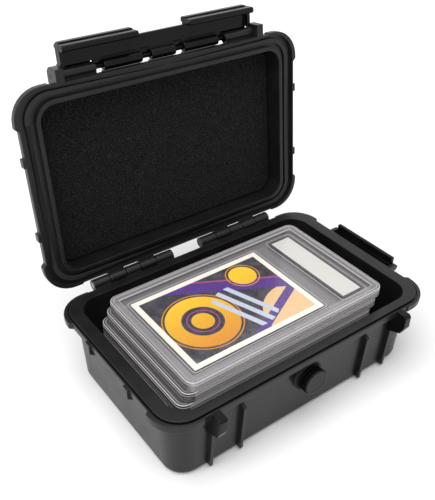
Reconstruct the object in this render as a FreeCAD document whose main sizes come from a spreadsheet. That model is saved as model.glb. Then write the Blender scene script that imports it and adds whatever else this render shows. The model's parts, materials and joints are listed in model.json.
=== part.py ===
import FreeCAD, Part
import math
import os
import Sketcher

doc = FreeCAD.newDocument("GradedCardCase")

# Driving sizes: name, value in millimetres or degrees, meaning
driving_sizes = (
    ("card_length", 88.9, "length of a card"),
    ("card_width", 63.5, "width of a card"),
    ("card_corner", 0.5, "corner radius of a card"),
    ("card_thick", 0.4, "thickness of a card"),
    ("card_y", 0.8, "middle of the slab to the middle of the card, front to back"),
    ("card_margin", 10.1, "left end of a slab to its card"),
    ("label_zone", 37.5, "card to the right end of its slab"),
    ("slab_side", 9.45, "long side of a slab to its card"),
    ("slab_thick", 6.2, "thickness of a card slab"),
    ("slab_back_share", 0.5, "share of the slab thickness in its back half"),
    ("slab_corner", 5.5, "corner radius of a card slab"),
    ("slab_edge", 0.4, "rounding along the raised frame of a slab"),
    ("stack_left", 4.2, "how far the top slab lies to the left of the middle"),
    ("stack_front", 5.7, "how far the slabs lie in front of the middle"),
    ("shift_second", 2.5, "how far the second slab lies to the left of the top one"),
    ("shift_rest", 5.8, "how far the lower slabs lie to the left of the top one"),
    ("window_margin", 5.0, "width of the raised frame round a slab front"),
    ("window_depth", 0.5, "height of the raised frame"),
    ("label_length", 17.0, "size of a label along the slab"),
    ("label_gap", 13.25, "card to the label"),
    ("label_side", 7.7, "long side of a slab to its label"),
    ("label_corner", 1.0, "corner radius of a label"),
    ("label_thick", 0.3, "thickness of a label"),
    ("well_gap", 0.3, "clearance round a card or a label in its well"),
    ("well_air", 0.2, "air over a card or a label in its well"),
    ("play_length", 30.3, "room over the slab length at the rim"),
    ("play_depth", 22.0, "room over the slab width at the rim"),
    ("stack_rise", 9.6, "how far the stack stands over the rim"),
    ("floor_wall", 2.5, "thickness of the floor"),
    ("cavity_corner", 11.6, "corner radius of the opening"),
    ("rim_end", 9.2, "width of the rim on the ends"),
    ("rim_side", 7.0, "width of the rim on the long sides"),
    ("foot_end", 7.2, "flange edge to the underside line on the ends"),
    ("foot_side", 6.9, "flange edge to the underside line on the long sides"),
    ("base_corner", 12.0, "outside corner radius of the base at its underside"),
    ("base_draft", 3.0, "lean of the walls, degrees"),
    ("foot_round", 4.0, "rounding along the bottom edge"),
    ("flange_height", 4.2, "height of the base flange"),
    ("flange_edge", 0.6, "rounding along the edges of the flanges"),
    ("tongue_inset", 1.5, "ledge left outside the raised tongue"),
    ("tongue_height", 1.0, "height of the tongue over the ledge"),
    ("tongue_corner", 15.0, "corner radius of the tongue"),
    ("tongue_edge", 0.4, "rounding along the outer edge of the tongue"),
    ("groove_width", 0.8, "width of the groove at the foot of the tongue"),
    ("groove_depth", 1.2, "depth of the groove at the foot of the tongue"),
    ("bumper_end", 1.9, "how far the corner bumpers stand out on the ends"),
    ("bumper_side", 0.8, "how far the corner bumpers stand out on the long sides"),
    ("bumper_corner", 17.5, "corner radius of the bumpers"),
    ("recess_end_share", 0.659, "share of the flange depth between the bumpers on each end"),
    ("recess_over", 4.8, "end of the hinge to the nearest bumper"),
    ("seal_gap", 0.2, "gap between the closed lid flange and the ledge"),
    ("root_bite", 1.2, "how deep ribs and lugs are rooted in the wall"),
    ("cut_overrun", 2.0, "how far a cutting shape runs past the material"),
    ("rib_width", 2.0, "width of a front rib"),
    ("rib_depth", 2.8, "how far a front rib stands out"),
    ("rib_near_share", 0.243, "share of the flange length to an inner front rib"),
    ("rib_far_share", 0.351, "share of the flange length to an outer front rib"),
    ("rib_top_share", 0.764, "share of the base height to the top of a front rib"),
    ("rib_foot", 2.0, "height of the foot of a front rib"),
    ("ear_inner_share", 0.343, "share of the flange length to the inner face of a latch guard"),
    ("ear_width", 4.8, "width of a latch guard"),
    ("ear_out", 7.1, "how far a latch guard stands out of the flange"),
    ("ear_drop", 8.6, "height of the upright front of a base latch guard"),
    ("ear_slope", 2.5, "how far the slope under a latch guard steps back"),
    ("ear_slope_drop", 5.0, "height of the slope under a base latch guard"),
    ("ear_tail", 18.0, "ledge to the lowest point of a base latch guard"),
    ("ear_chamfer", 1.3, "chamfer on the upper front edge of a base latch guard"),
    ("ear_rise", 11.4, "height of a lid latch guard over the lid flange face"),
    ("ear_back", 6.0, "length of a lid latch guard along the flange"),
    ("ear_top_back", 2.0, "how far the top of a lid latch guard reaches back"),
    ("end_rib_share", 0.169, "share of the flange depth to a rib on the left end"),
    ("end_rib_width", 4.5, "width of a rib on the left end"),
    ("end_rib_out", 1.4, "how far an end rib stands out of the flange"),
    ("end_rib_drop", 6.5, "height of the upright front of an end rib"),
    ("end_rib_tail", 12.0, "ledge to the lowest point of an end rib"),
    ("lid_rib_share", 0.186, "share of the flange depth to a rib on a lid end"),
    ("lid_rib_width", 5.0, "width of a rib on a lid end"),
    ("hinge_gap", 0.6, "flange edge to the knuckles"),
    ("hinge_start_share", 0.0594, "share of the flange length to the inner end of a knuckle row"),
    ("hinge_end_share", 0.3629, "share of the flange length to the outer end of a knuckle row"),
    ("leaf_first_share", 0.1274, "share of the flange length to the inner lid knuckle"),
    ("leaf_second_share", 0.2441, "share of the flange length to the outer lid knuckle"),
    ("leaf_width_share", 0.0578, "share of the flange length in a lid knuckle"),
    ("leaf_gap", 0.5, "side gap between knuckles"),
    ("knuckle_round", 3.4, "radius of a knuckle"),
    ("pin_round", 1.5, "radius of a hinge pin"),
    ("pin_fit", 0.05, "running clearance round a pin"),
    ("lid_open", 96.6, "opening of the lid as shown, degrees"),
    ("lid_flange", 4.4, "height of the lid flange"),
    ("lid_wall", 2.6, "thickness of the lid wall"),
    ("lid_roof", 2.4, "thickness of the lid top"),
    ("lid_round", 5.0, "rounding along the lid top"),
    ("lid_cavity_corner", 9.4, "corner radius of the hollow in the lid"),
    ("ridge_gap", 0.3, "gap between the lid wall and the opening of the base"),
    ("channel_fit", 0.4, "clearance between the tongue and the channel in the lid"),
    ("channel_depth", 2.6, "depth of the seal channel in the lid"),
    ("gasket_share", 0.5, "share of the narrower channel width in the seal"),
    ("gasket_thick", 1.5, "thickness of the seal"),
    ("foam_thick", 4.4, "thickness of the foam sheet in the lid"),
    ("foam_clear", 1.0, "room between the closed foam sheet and the stack"),
    ("foam_gap", 0.3, "gap between the foam sheet and the lid wall"),
    ("latch_out", 2.4, "lid flange edge to the latch axis"),
    ("latch_sink", 0.4, "how far the latch barrel lies below the lid flange top"),
    ("latch_open", 90.0, "opening of the latch as shown, degrees"),
    ("latch_side_gap", 1.1, "gap between the latch and a latch guard"),
    ("barrel_round", 3.0, "radius of the latch barrel"),
    ("barrel_share", 0.2052, "share of the flange length in half the latch barrel"),
    ("break_start_share", 0.0432, "share of the flange length to the window in the latch barrel"),
    ("break_end_share", 0.0756, "share of the flange length to the far end of the window"),
    ("lug_start_share", 0.2322, "share of the flange length to a lid lug for the latch pin"),
    ("web_gap", 0.35, "latch barrel to the lid web behind it"),
    ("web_rise", 10.0, "height of the lid web behind the latch barrel"),
    ("latch_pin_round", 1.3, "radius of the latch pin"),
    ("plate_offset", 0.6, "latch axis to the inner face of the latch plate"),
    ("plate_thick", 2.4, "thickness of the latch plate"),
    ("plate_gap", 0.5, "latch barrel to the start of the latch plate"),
    ("bridge_gap", 0.3, "clearance round the bridges over the windows in the latch barrel"),
    ("apron_gap", 0.35, "latch barrel to the apron over the lid lugs"),
    ("apron_thick", 1.4, "thickness of the apron over the lid lugs"),
    ("lip_over", 0.7, "how far the finger lip runs past the hook"),
    ("notch_share", 0.0891, "share of the flange length in half the notch of the free edge"),
    ("hook_gap", 0.5, "gap between the closed hook and the base flange"),
    ("hook_thick", 3.4, "thickness of the hook"),
    ("hook_in", 5.8, "how far the hook reaches in past the latch axis"),
    ("cheek_width", 2.2, "width of the end wall of the latch"),
    ("cheek_gap", 0.5, "gap between the end wall of the closed latch and the flange"),
    ("bead_out", 1.2, "how far the finger bead stands out of the latch"),
    ("bead_height", 1.2, "height of the finger bead"),
    ("valve_share", 0.624, "share of the base height to the valve axis"),
    ("boss_round", 9.6, "radius of the valve boss"),
    ("boss_out", 3.0, "how far the valve boss stands out at the underside line"),
    ("boss_in", 1.9, "how far the inner valve boss stands in from the underside line"),
    ("nut_seat_round", 8.8, "radius of the inner valve boss"),
    ("stem_round", 4.0, "radius of the valve stem"),
    ("stem_fit", 0.1, "clearance round the valve stem"),
    ("washer_round", 9.2, "radius of the valve washer"),
    ("washer_thick", 1.2, "thickness of the valve washer"),
    ("collar_round", 8.6, "radius of the valve collar"),
    ("collar_thick", 1.6, "thickness of the valve collar"),
    ("spigot_round", 2.5, "radius of the spigot that carries the knob"),
    ("spigot_length", 3.0, "length of the spigot"),
    ("nut_flat", 13.0, "width of the valve nut across its flats"),
    ("nut_thick", 2.2, "thickness of the valve nut"),
    ("knob_round", 7.9, "radius of the valve knob"),
    ("knob_thick", 4.0, "thickness of the valve knob"),
    ("knob_gap", 0.2, "gap under the valve knob"),
    ("knob_edge", 0.6, "bevel round the face of the valve knob"),
    ("grip_round", 0.7, "radius of a grip groove in the knob"),
    ("bar_out", 6.3, "flange edge to the axis of the strap bar"),
    ("bar_drop", 3.2, "ledge down to the axis of the strap bar"),
    ("bar_share", 0.2027, "share of the flange depth in half the strap bar"),
    ("bar_thick", 2.6, "thickness of the strap bar"),
    ("bar_rise", 6.0, "axis to the top edge of the strap bar"),
    ("bar_barrel", 2.0, "radius of the barrel along the strap bar"),
    ("bar_lug_gap", 0.4, "side gap between the strap bar and its lugs"),
    ("bar_lug_width", 2.6, "width of a strap bar lug"),
    ("bar_lug_round", 2.0, "radius of a strap bar lug"),
    ("bar_pin_round", 1.1, "radius of a strap bar pin"),
    ("bar_pin_reach", 5.0, "how far a strap bar pin reaches into the bar"),
)
slab_count = 9
grip_count = 24
nut_sides = 6
same_level = 1e-4

sheet = doc.addObject("Spreadsheet::Sheet", "Sizes")
for row, (alias, number, meaning) in enumerate(driving_sizes, start=1):
    sheet.set("A%d" % row, meaning)
    sheet.set("B%d" % row, str(number))
    sheet.setAlias("B%d" % row, alias)
doc.recompute()


class Size:
    # A number together with the sheet expression it comes from
    def __init__(self, text, number):
        self.text = text
        self.number = number

    def __neg__(self):
        return Size("(-%s)" % self.text, -self.number)

    def __add__(self, other):
        return Size("(%s + %s)" % (self.text, other.text), self.number + other.number)

    def __sub__(self, other):
        return Size("(%s - %s)" % (self.text, other.text), self.number - other.number)

    def __mul__(self, factor):
        if isinstance(factor, Size):
            return Size("(%s * %s)" % (self.text, factor.text), self.number * factor.number)
        return Size("(%s * %r)" % (self.text, factor), self.number * factor)

    def half(self):
        return Size("(%s / 2)" % self.text, self.number / 2)


class Sizes:
    pass


size = Sizes()
for alias, number, meaning in driving_sizes:
    setattr(size, alias, Size("Sizes.%s" % alias, number))
zero = Size("0", 0.0)
sides = (("left", -1), ("right", 1))
rows = (("front", -1), ("back", 1))


def tangent(angle):
    return Size("tan(%s)" % angle.text, math.tan(math.radians(angle.number)))


def sine(angle):
    return Size("sin(%s)" % angle.text, math.sin(math.radians(angle.number)))


def cosine(angle):
    return Size("cos(%s)" % angle.text, math.cos(math.radians(angle.number)))


# The slab follows the card, the case follows the slab
size.slab_length = size.card_margin + size.card_length + size.label_zone
size.slab_width = size.card_width + size.slab_side + size.slab_side
size.slab_back = size.slab_thick * size.slab_back_share
size.card_x = size.card_margin + size.card_length.half() - size.slab_length.half()
size.label_width = size.slab_width - size.label_side - size.label_side
size.label_x = size.card_x + size.card_length.half() + size.label_gap + size.label_length.half()
size.slab_x = -size.stack_left
size.slab_y = -size.stack_front
size.cavity_length = size.slab_length + size.play_length
size.cavity_depth = size.slab_width + size.play_depth
size.flange_length = size.cavity_length + size.rim_end + size.rim_end
size.flange_depth = size.cavity_depth + size.rim_side + size.rim_side
size.base_length = size.flange_length - size.foot_end - size.foot_end
size.base_depth = size.flange_depth - size.foot_side - size.foot_side
size.base_height = size.floor_wall + size.slab_thick * slab_count - size.stack_rise
size.hinge_out = size.knuckle_round + size.hinge_gap
size.hinge_start = size.flange_length * size.hinge_start_share
size.hinge_end = size.flange_length * size.hinge_end_share
size.leaf_first = size.flange_length * size.leaf_first_share
size.leaf_second = size.flange_length * size.leaf_second_share
size.leaf_width = size.flange_length * size.leaf_width_share
size.recess_end = size.flange_depth * size.recess_end_share
size.recess_side = (size.hinge_end + size.recess_over) * 2
size.rib_near = size.flange_length * size.rib_near_share
size.rib_far = size.flange_length * size.rib_far_share
size.rib_top = size.base_height * size.rib_top_share
size.ear_inner = size.flange_length * size.ear_inner_share
size.end_rib_mid = size.flange_depth * size.end_rib_share
size.lid_rib_mid = size.flange_depth * size.lid_rib_share
size.lid_cavity_length = size.cavity_length - (size.ridge_gap + size.lid_wall) * 2
size.lid_cavity_depth = size.cavity_depth - (size.ridge_gap + size.lid_wall) * 2
size.foam_face = size.stack_rise + size.tongue_height - size.seal_gap + size.foam_clear
size.lid_depth = size.foam_face + size.foam_thick + size.lid_roof
size.latch_up = size.lid_flange + size.barrel_round - size.latch_sink
size.latch_half = size.ear_inner - size.latch_side_gap
size.barrel_half = size.flange_length * size.barrel_share
size.break_start = size.flange_length * size.break_start_share
size.break_end = size.flange_length * size.break_end_share
size.lug_start = size.flange_length * size.lug_start_share
size.notch_half = size.flange_length * size.notch_share
size.plate_start = size.barrel_round + size.plate_gap
size.hook_reach = size.latch_up + size.flange_height + size.seal_gap + size.hook_gap
size.lip_reach = size.hook_reach + size.hook_thick + size.lip_over
size.cheek_in = size.latch_out - size.cheek_gap
size.valve_height = size.base_height * size.valve_share
size.bar_half = size.flange_depth * size.bar_share

# Levels and lines shared by several pieces
ledge = size.base_height - size.tongue_height
flange_under = ledge - size.flange_height
parting = ledge + size.seal_gap
hinge_y = size.flange_depth.half() + size.hinge_out
lid_mid = -(size.flange_depth.half() + size.hinge_out)
lid_front = -(size.flange_depth + size.hinge_out)
latch_y = lid_front - size.latch_out
barrel_lengths = (
    ("left", -size.barrel_half, size.barrel_half - size.break_end),
    ("middle", -size.break_start, size.break_start + size.break_start),
    ("right", size.break_end, size.barrel_half - size.break_end),
)
bar_x = size.flange_length.half() + size.bar_out
bar_z = ledge - size.bar_drop
boss_face = -(size.base_depth.half() + size.boss_out)
nut_seat = -(size.base_depth.half() - size.boss_in)
collar_back = boss_face - size.washer_thick
collar_face = collar_back - size.collar_thick
finished = []


def wall_front(height):
    # Outer wall surface at a height, measured from the middle plane
    return size.base_depth.half() + tangent(size.base_draft) * height


def wall_end(height):
    return size.base_length.half() + tangent(size.base_draft) * height


def new_body(name):
    body = doc.addObject("PartDesign::Body", name)
    body.Label = name
    finished.append(body)
    return body


def join(body, fittings):
    # Welds fittings that were drawn apart to their shell in one step
    feature = body.newObject("PartDesign::Boolean", fittings.Name + "Join")
    feature.setObjects([fittings])
    feature.Type = "Fuse"
    body.Tip = feature


def sketch_on(body, name, role, offset=zero):
    plane = [feature for feature in body.Origin.OriginFeatures if feature.Role == role][0]
    sketch = body.newObject("Sketcher::SketchObject", name)
    sketch.AttachmentSupport = [(plane, "")]
    sketch.MapMode = "FlatFace"
    sketch.setExpression("AttachmentOffset.Base.z", offset.text)
    return sketch


def pin_point(sketch, geometry, vertex, x, y):
    # Holds one point of a sketch at two sheet sizes
    for kind, amount in (("DistanceX", x), ("DistanceY", y)):
        index = sketch.addConstraint(Sketcher.Constraint(kind, -1, 1, geometry, vertex, amount.number))
        sketch.setExpression("Constraints[%d]" % index, amount.text)


def pin_radius(sketch, geometry, radius):
    index = sketch.addConstraint(Sketcher.Constraint("Radius", geometry, radius.number))
    sketch.setExpression("Constraints[%d]" % index, radius.text)


def polygon(sketch, points):
    places = [FreeCAD.Vector(x.number, y.number, 0) for x, y in points]
    first = sketch.GeometryCount
    for start, end in zip(places, places[1:] + places[:1]):
        sketch.addGeometry(Part.LineSegment(start, end))
    for step, (x, y) in enumerate(points):
        following = first + (step + 1) % len(points)
        sketch.addConstraint(Sketcher.Constraint("Coincident", first + step, 2, following, 1))
        pin_point(sketch, first + step, 1, x, y)


def circle(sketch, x, y, radius):
    middle = FreeCAD.Vector(x.number, y.number, 0)
    index = sketch.addGeometry(Part.Circle(middle, FreeCAD.Vector(0, 0, 1), radius.number))
    pin_point(sketch, index, 3, x, y)
    pin_radius(sketch, index, radius)


def rounded(sketch, half_x, half_y, corner, mid_x=zero, mid_y=zero):
    # Rounded rectangle: four arcs joined by tangent lines
    upright = FreeCAD.Vector(0, 0, 1)
    first = sketch.GeometryCount
    turns = ((1, 1, 0), (-1, 1, 90), (-1, -1, 180), (1, -1, 270))
    centres = []
    for sign_x, sign_y, angle in turns:
        x = mid_x + (half_x - corner) * sign_x
        y = mid_y + (half_y - corner) * sign_y
        centres.append((x, y))
        whole = Part.Circle(FreeCAD.Vector(x.number, y.number, 0), upright, corner.number)
        sketch.addGeometry(Part.ArcOfCircle(whole, math.radians(angle), math.radians(angle + 90)))
    for step in range(len(turns)):
        start = sketch.getPoint(first + step, 2)
        end = sketch.getPoint(first + (step + 1) % len(turns), 1)
        sketch.addGeometry(Part.LineSegment(start, end))
    for step in range(len(turns)):
        line = first + len(turns) + step
        following = first + (step + 1) % len(turns)
        sketch.addConstraint(Sketcher.Constraint("Tangent", first + step, 2, line, 1))
        sketch.addConstraint(Sketcher.Constraint("Tangent", line, 2, following, 1))
    for step, (x, y) in enumerate(centres):
        pin_point(sketch, first + step, 3, x, y)
        pin_radius(sketch, first + step, corner)


def pad(body, sketch, length, reverse=False, draft=None):
    feature = body.newObject("PartDesign::Pad", sketch.Name + "Pad")
    feature.Profile = sketch
    feature.setExpression("Length", length.text)
    feature.Reversed = reverse
    if draft is not None:
        feature.setExpression("TaperAngle", draft.text)
    body.Tip = feature
    return feature


def pocket(body, sketch, length, reverse=False, draft=None):
    feature = body.newObject("PartDesign::Pocket", sketch.Name + "Cut")
    feature.Profile = sketch
    feature.setExpression("Length", length.text)
    feature.Reversed = reverse
    if draft is not None:
        feature.setExpression("TaperAngle", draft.text)
    body.Tip = feature
    return feature


def fillet_level(body, feature, name, level, radius):
    # Rounds every edge that lies flat at one height
    doc.recompute()
    names = []
    for index, edge in enumerate(feature.Shape.Edges, start=1):
        box = edge.BoundBox
        if abs(box.ZMin - level.number) < same_level and abs(box.ZMax - level.number) < same_level:
            names.append("Edge%d" % index)
    rounding = body.newObject("PartDesign::Fillet", name)
    rounding.Base = (feature, names)
    rounding.setExpression("Radius", radius.text)
    body.Tip = rounding
    return rounding


def prism_x(body, name, start, width, points):
    sketch = sketch_on(body, name, "YZ_Plane", start)
    polygon(sketch, points)
    return pad(body, sketch, width)


def rod_x(body, name, start, length, y, z, radius):
    sketch = sketch_on(body, name, "YZ_Plane", start)
    circle(sketch, y, z, radius)
    return pad(body, sketch, length)


def bore_x(body, name, end, length, y, z, radius):
    # Cuts from the far end back towards the left
    sketch = sketch_on(body, name, "YZ_Plane", end)
    circle(sketch, y, z, radius)
    return pocket(body, sketch, length)


def rod_front(body, name, start, length, x, z, radius):
    # Grows from a back face towards the front
    sketch = sketch_on(body, name, "XZ_Plane", -start)
    circle(sketch, x, z, radius)
    return pad(body, sketch, length)


def prism_front(body, name, start, width, points):
    sketch = sketch_on(body, name, "XZ_Plane", -start)
    polygon(sketch, points)
    return pad(body, sketch, width)


def span_start(sign, near, far):
    # Left end of a span that is mirrored to either side of the middle plane
    if sign > 0:
        return near
    return -far


def cut_recesses(body, name, top, height, middle):
    # Straight edges between the corner bumpers, with slanted ends
    sketch = sketch_on(body, name, "XY_Plane", top)
    half_x = size.flange_length.half()
    half_y = size.flange_depth.half()
    out_x = size.bumper_end + size.cut_overrun
    out_y = size.bumper_side + size.cut_overrun
    for side, sign in sides:
        near = half_x * sign
        far = (half_x + out_x) * sign
        reach = size.recess_end.half()
        polygon(sketch, (
            (near, middle - reach),
            (far, middle - reach - out_x),
            (far, middle + reach + out_x),
            (near, middle + reach),
        ))
        near = middle + half_y * sign
        far = middle + (half_y + out_y) * sign
        reach = size.recess_side.half()
        polygon(sketch, (
            (-reach, near),
            (-(reach + out_y), far),
            (reach + out_y, far),
            (reach, near),
        ))
    return pocket(body, sketch, height)


def make_base():
    body = new_body("base_shell")
    # Leaning walls with a rounded bottom edge
    sketch = sketch_on(body, "BaseWall", "XY_Plane")
    rounded(sketch, size.base_length.half(), size.base_depth.half(), size.base_corner)
    wall = pad(body, sketch, flange_under, draft=size.base_draft)
    fillet_level(body, wall, "BaseFoot", zero, size.foot_round)
    # Rim flange with corner bumpers, and the tongue on top of it
    sketch = sketch_on(body, "BaseFlange", "XY_Plane", flange_under)
    half_x = size.flange_length.half() + size.bumper_end
    half_y = size.flange_depth.half() + size.bumper_side
    rounded(sketch, half_x, half_y, size.bumper_corner)
    pad(body, sketch, size.flange_height)
    flange = cut_recesses(body, "BaseRecess", ledge, size.flange_height, zero)
    fillet_level(body, flange, "BaseFlangeEdge", ledge, size.flange_edge)
    sketch = sketch_on(body, "BaseTongue", "XY_Plane", ledge)
    half_x = size.flange_length.half() - size.tongue_inset
    half_y = size.flange_depth.half() - size.tongue_inset
    rounded(sketch, half_x, half_y, size.tongue_corner)
    tongue = pad(body, sketch, size.tongue_height)
    fillet_level(body, tongue, "BaseTongueEdge", size.base_height, size.tongue_edge)
    sketch = sketch_on(body, "BaseGroove", "XY_Plane", ledge)
    wide = size.groove_width
    rounded(sketch, half_x + wide, half_y + wide, size.tongue_corner + wide)
    rounded(sketch, half_x, half_y, size.tongue_corner)
    pocket(body, sketch, size.groove_depth)
    # Latch guards and ribs on the front
    fittings = doc.addObject("PartDesign::Body", "BaseFittings")
    ear_front = -(size.flange_depth.half() + size.ear_out)
    ear_foot = ledge - size.ear_tail
    for side, sign in sides:
        start = span_start(sign, size.ear_inner, size.ear_inner + size.ear_width)
        prism_x(fittings, "BaseGuard_" + side, start, size.ear_width, (
            (-(wall_front(ledge) - size.root_bite), ledge),
            (ear_front + size.ear_chamfer, ledge),
            (ear_front, ledge - size.ear_chamfer),
            (ear_front, ledge - size.ear_drop),
            (ear_front + size.ear_slope, ledge - size.ear_drop - size.ear_slope_drop),
            (-(wall_front(ear_foot) - size.root_bite), ear_foot),
        ))
        for place, middle in (("near", size.rib_near), ("far", size.rib_far)):
            start = middle * sign - size.rib_width.half()
            prism_x(fittings, "BaseRib_%s_%s" % (side, place), start, size.rib_width, (
                (-(wall_front(size.rib_foot) - size.root_bite), size.rib_foot),
                (-(wall_front(size.rib_foot) + size.rib_depth), size.rib_foot),
                (-(wall_front(size.rib_top) + size.rib_depth), size.rib_top - size.rib_depth),
                (-(wall_front(size.rib_top) - size.root_bite), size.rib_top),
            ))
    # Ribs on the left end and strap bar lugs on the right end
    rib_face = -(size.flange_length.half() + size.end_rib_out)
    rib_foot = ledge - size.end_rib_tail
    for row, sign in rows:
        start = size.end_rib_mid * sign + size.end_rib_width.half()
        prism_front(fittings, "BaseEndRib_" + row, start, size.end_rib_width, (
            (-(wall_end(ledge) - size.root_bite), ledge),
            (rib_face, ledge),
            (rib_face, ledge - size.end_rib_drop),
            (-(wall_end(rib_foot) - size.root_bite), rib_foot),
        ))
        inner = size.bar_half + size.bar_lug_gap
        start = span_start(sign, inner, inner + size.bar_lug_width) + size.bar_lug_width
        prism_front(fittings, "BarLug_" + row, start, size.bar_lug_width, (
            (wall_end(bar_z) - size.root_bite, bar_z - size.bar_lug_round),
            (bar_x, bar_z - size.bar_lug_round),
            (bar_x, bar_z + size.bar_lug_round),
            (wall_end(bar_z) - size.root_bite, bar_z + size.bar_lug_round),
        ))
        rod_front(fittings, "BarLugEnd_" + row, start, size.bar_lug_width, bar_x, bar_z, size.bar_lug_round)
        sketch = sketch_on(fittings, "BarLugBore_" + row, "XZ_Plane", size.bar_lug_width - start)
        circle(sketch, bar_x, bar_z, size.bar_pin_round + size.pin_fit)
        pocket(fittings, sketch, size.bar_lug_width)
    # Hinge knuckles along the back
    first_end = size.leaf_first + size.leaf_width + size.leaf_gap
    second_end = size.leaf_second + size.leaf_width + size.leaf_gap
    spans = (
        ("a", size.hinge_start, size.leaf_first - size.leaf_gap),
        ("b", first_end, size.leaf_second - size.leaf_gap),
        ("c", second_end, size.hinge_end),
    )
    root = size.flange_depth.half() - size.root_bite
    for side, sign in sides:
        for mark, near, far in spans:
            start = span_start(sign, near, far)
            prism_x(fittings, "HingeWeb_%s_%s" % (side, mark), start, far - near, (
                (root, flange_under),
                (hinge_y, parting - size.knuckle_round),
                (hinge_y, ledge),
                (root, ledge),
            ))
            name = "HingeKnuckle_%s_%s" % (side, mark)
            rod_x(fittings, name, start, far - near, hinge_y, parting, size.knuckle_round)
        end = span_start(sign, size.hinge_start, size.hinge_end) + size.hinge_end - size.hinge_start
        length = size.hinge_end - size.hinge_start
        bore_x(fittings, "HingeBore_" + side, end, length, hinge_y, parting, size.pin_round + size.pin_fit)
    # Valve boss on the outside, then the hollow, then the seat for the nut inside
    boss_root = -(wall_front(size.valve_height) - size.root_bite)
    rod_front(fittings, "ValveBoss", boss_root, boss_root - boss_face, zero, size.valve_height, size.boss_round)
    join(body, fittings)
    sketch = sketch_on(body, "BaseHollow", "XY_Plane", size.base_height)
    rounded(sketch, size.cavity_length.half(), size.cavity_depth.half(), size.cavity_corner)
    pocket(body, sketch, size.base_height - size.floor_wall, draft=-size.base_draft)
    rod_front(body, "ValveSeat", nut_seat, nut_seat - boss_root, zero, size.valve_height, size.nut_seat_round)
    sketch = sketch_on(body, "ValveBore", "XZ_Plane", -boss_face)
    circle(sketch, zero, size.valve_height, size.stem_round + size.stem_fit)
    pocket(body, sketch, nut_seat - boss_face)


def hang_on_hinge(body):
    # Pieces of the lid are drawn closed with the hinge axis as their origin
    body.Placement = FreeCAD.Placement(FreeCAD.Vector(), FreeCAD.Rotation(FreeCAD.Vector(-1, 0, 0), 1))
    body.setExpression("Placement.Rotation.Angle", size.lid_open.text)
    body.setExpression("Placement.Base.y", hinge_y.text)
    body.setExpression("Placement.Base.z", parting.text)


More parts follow.
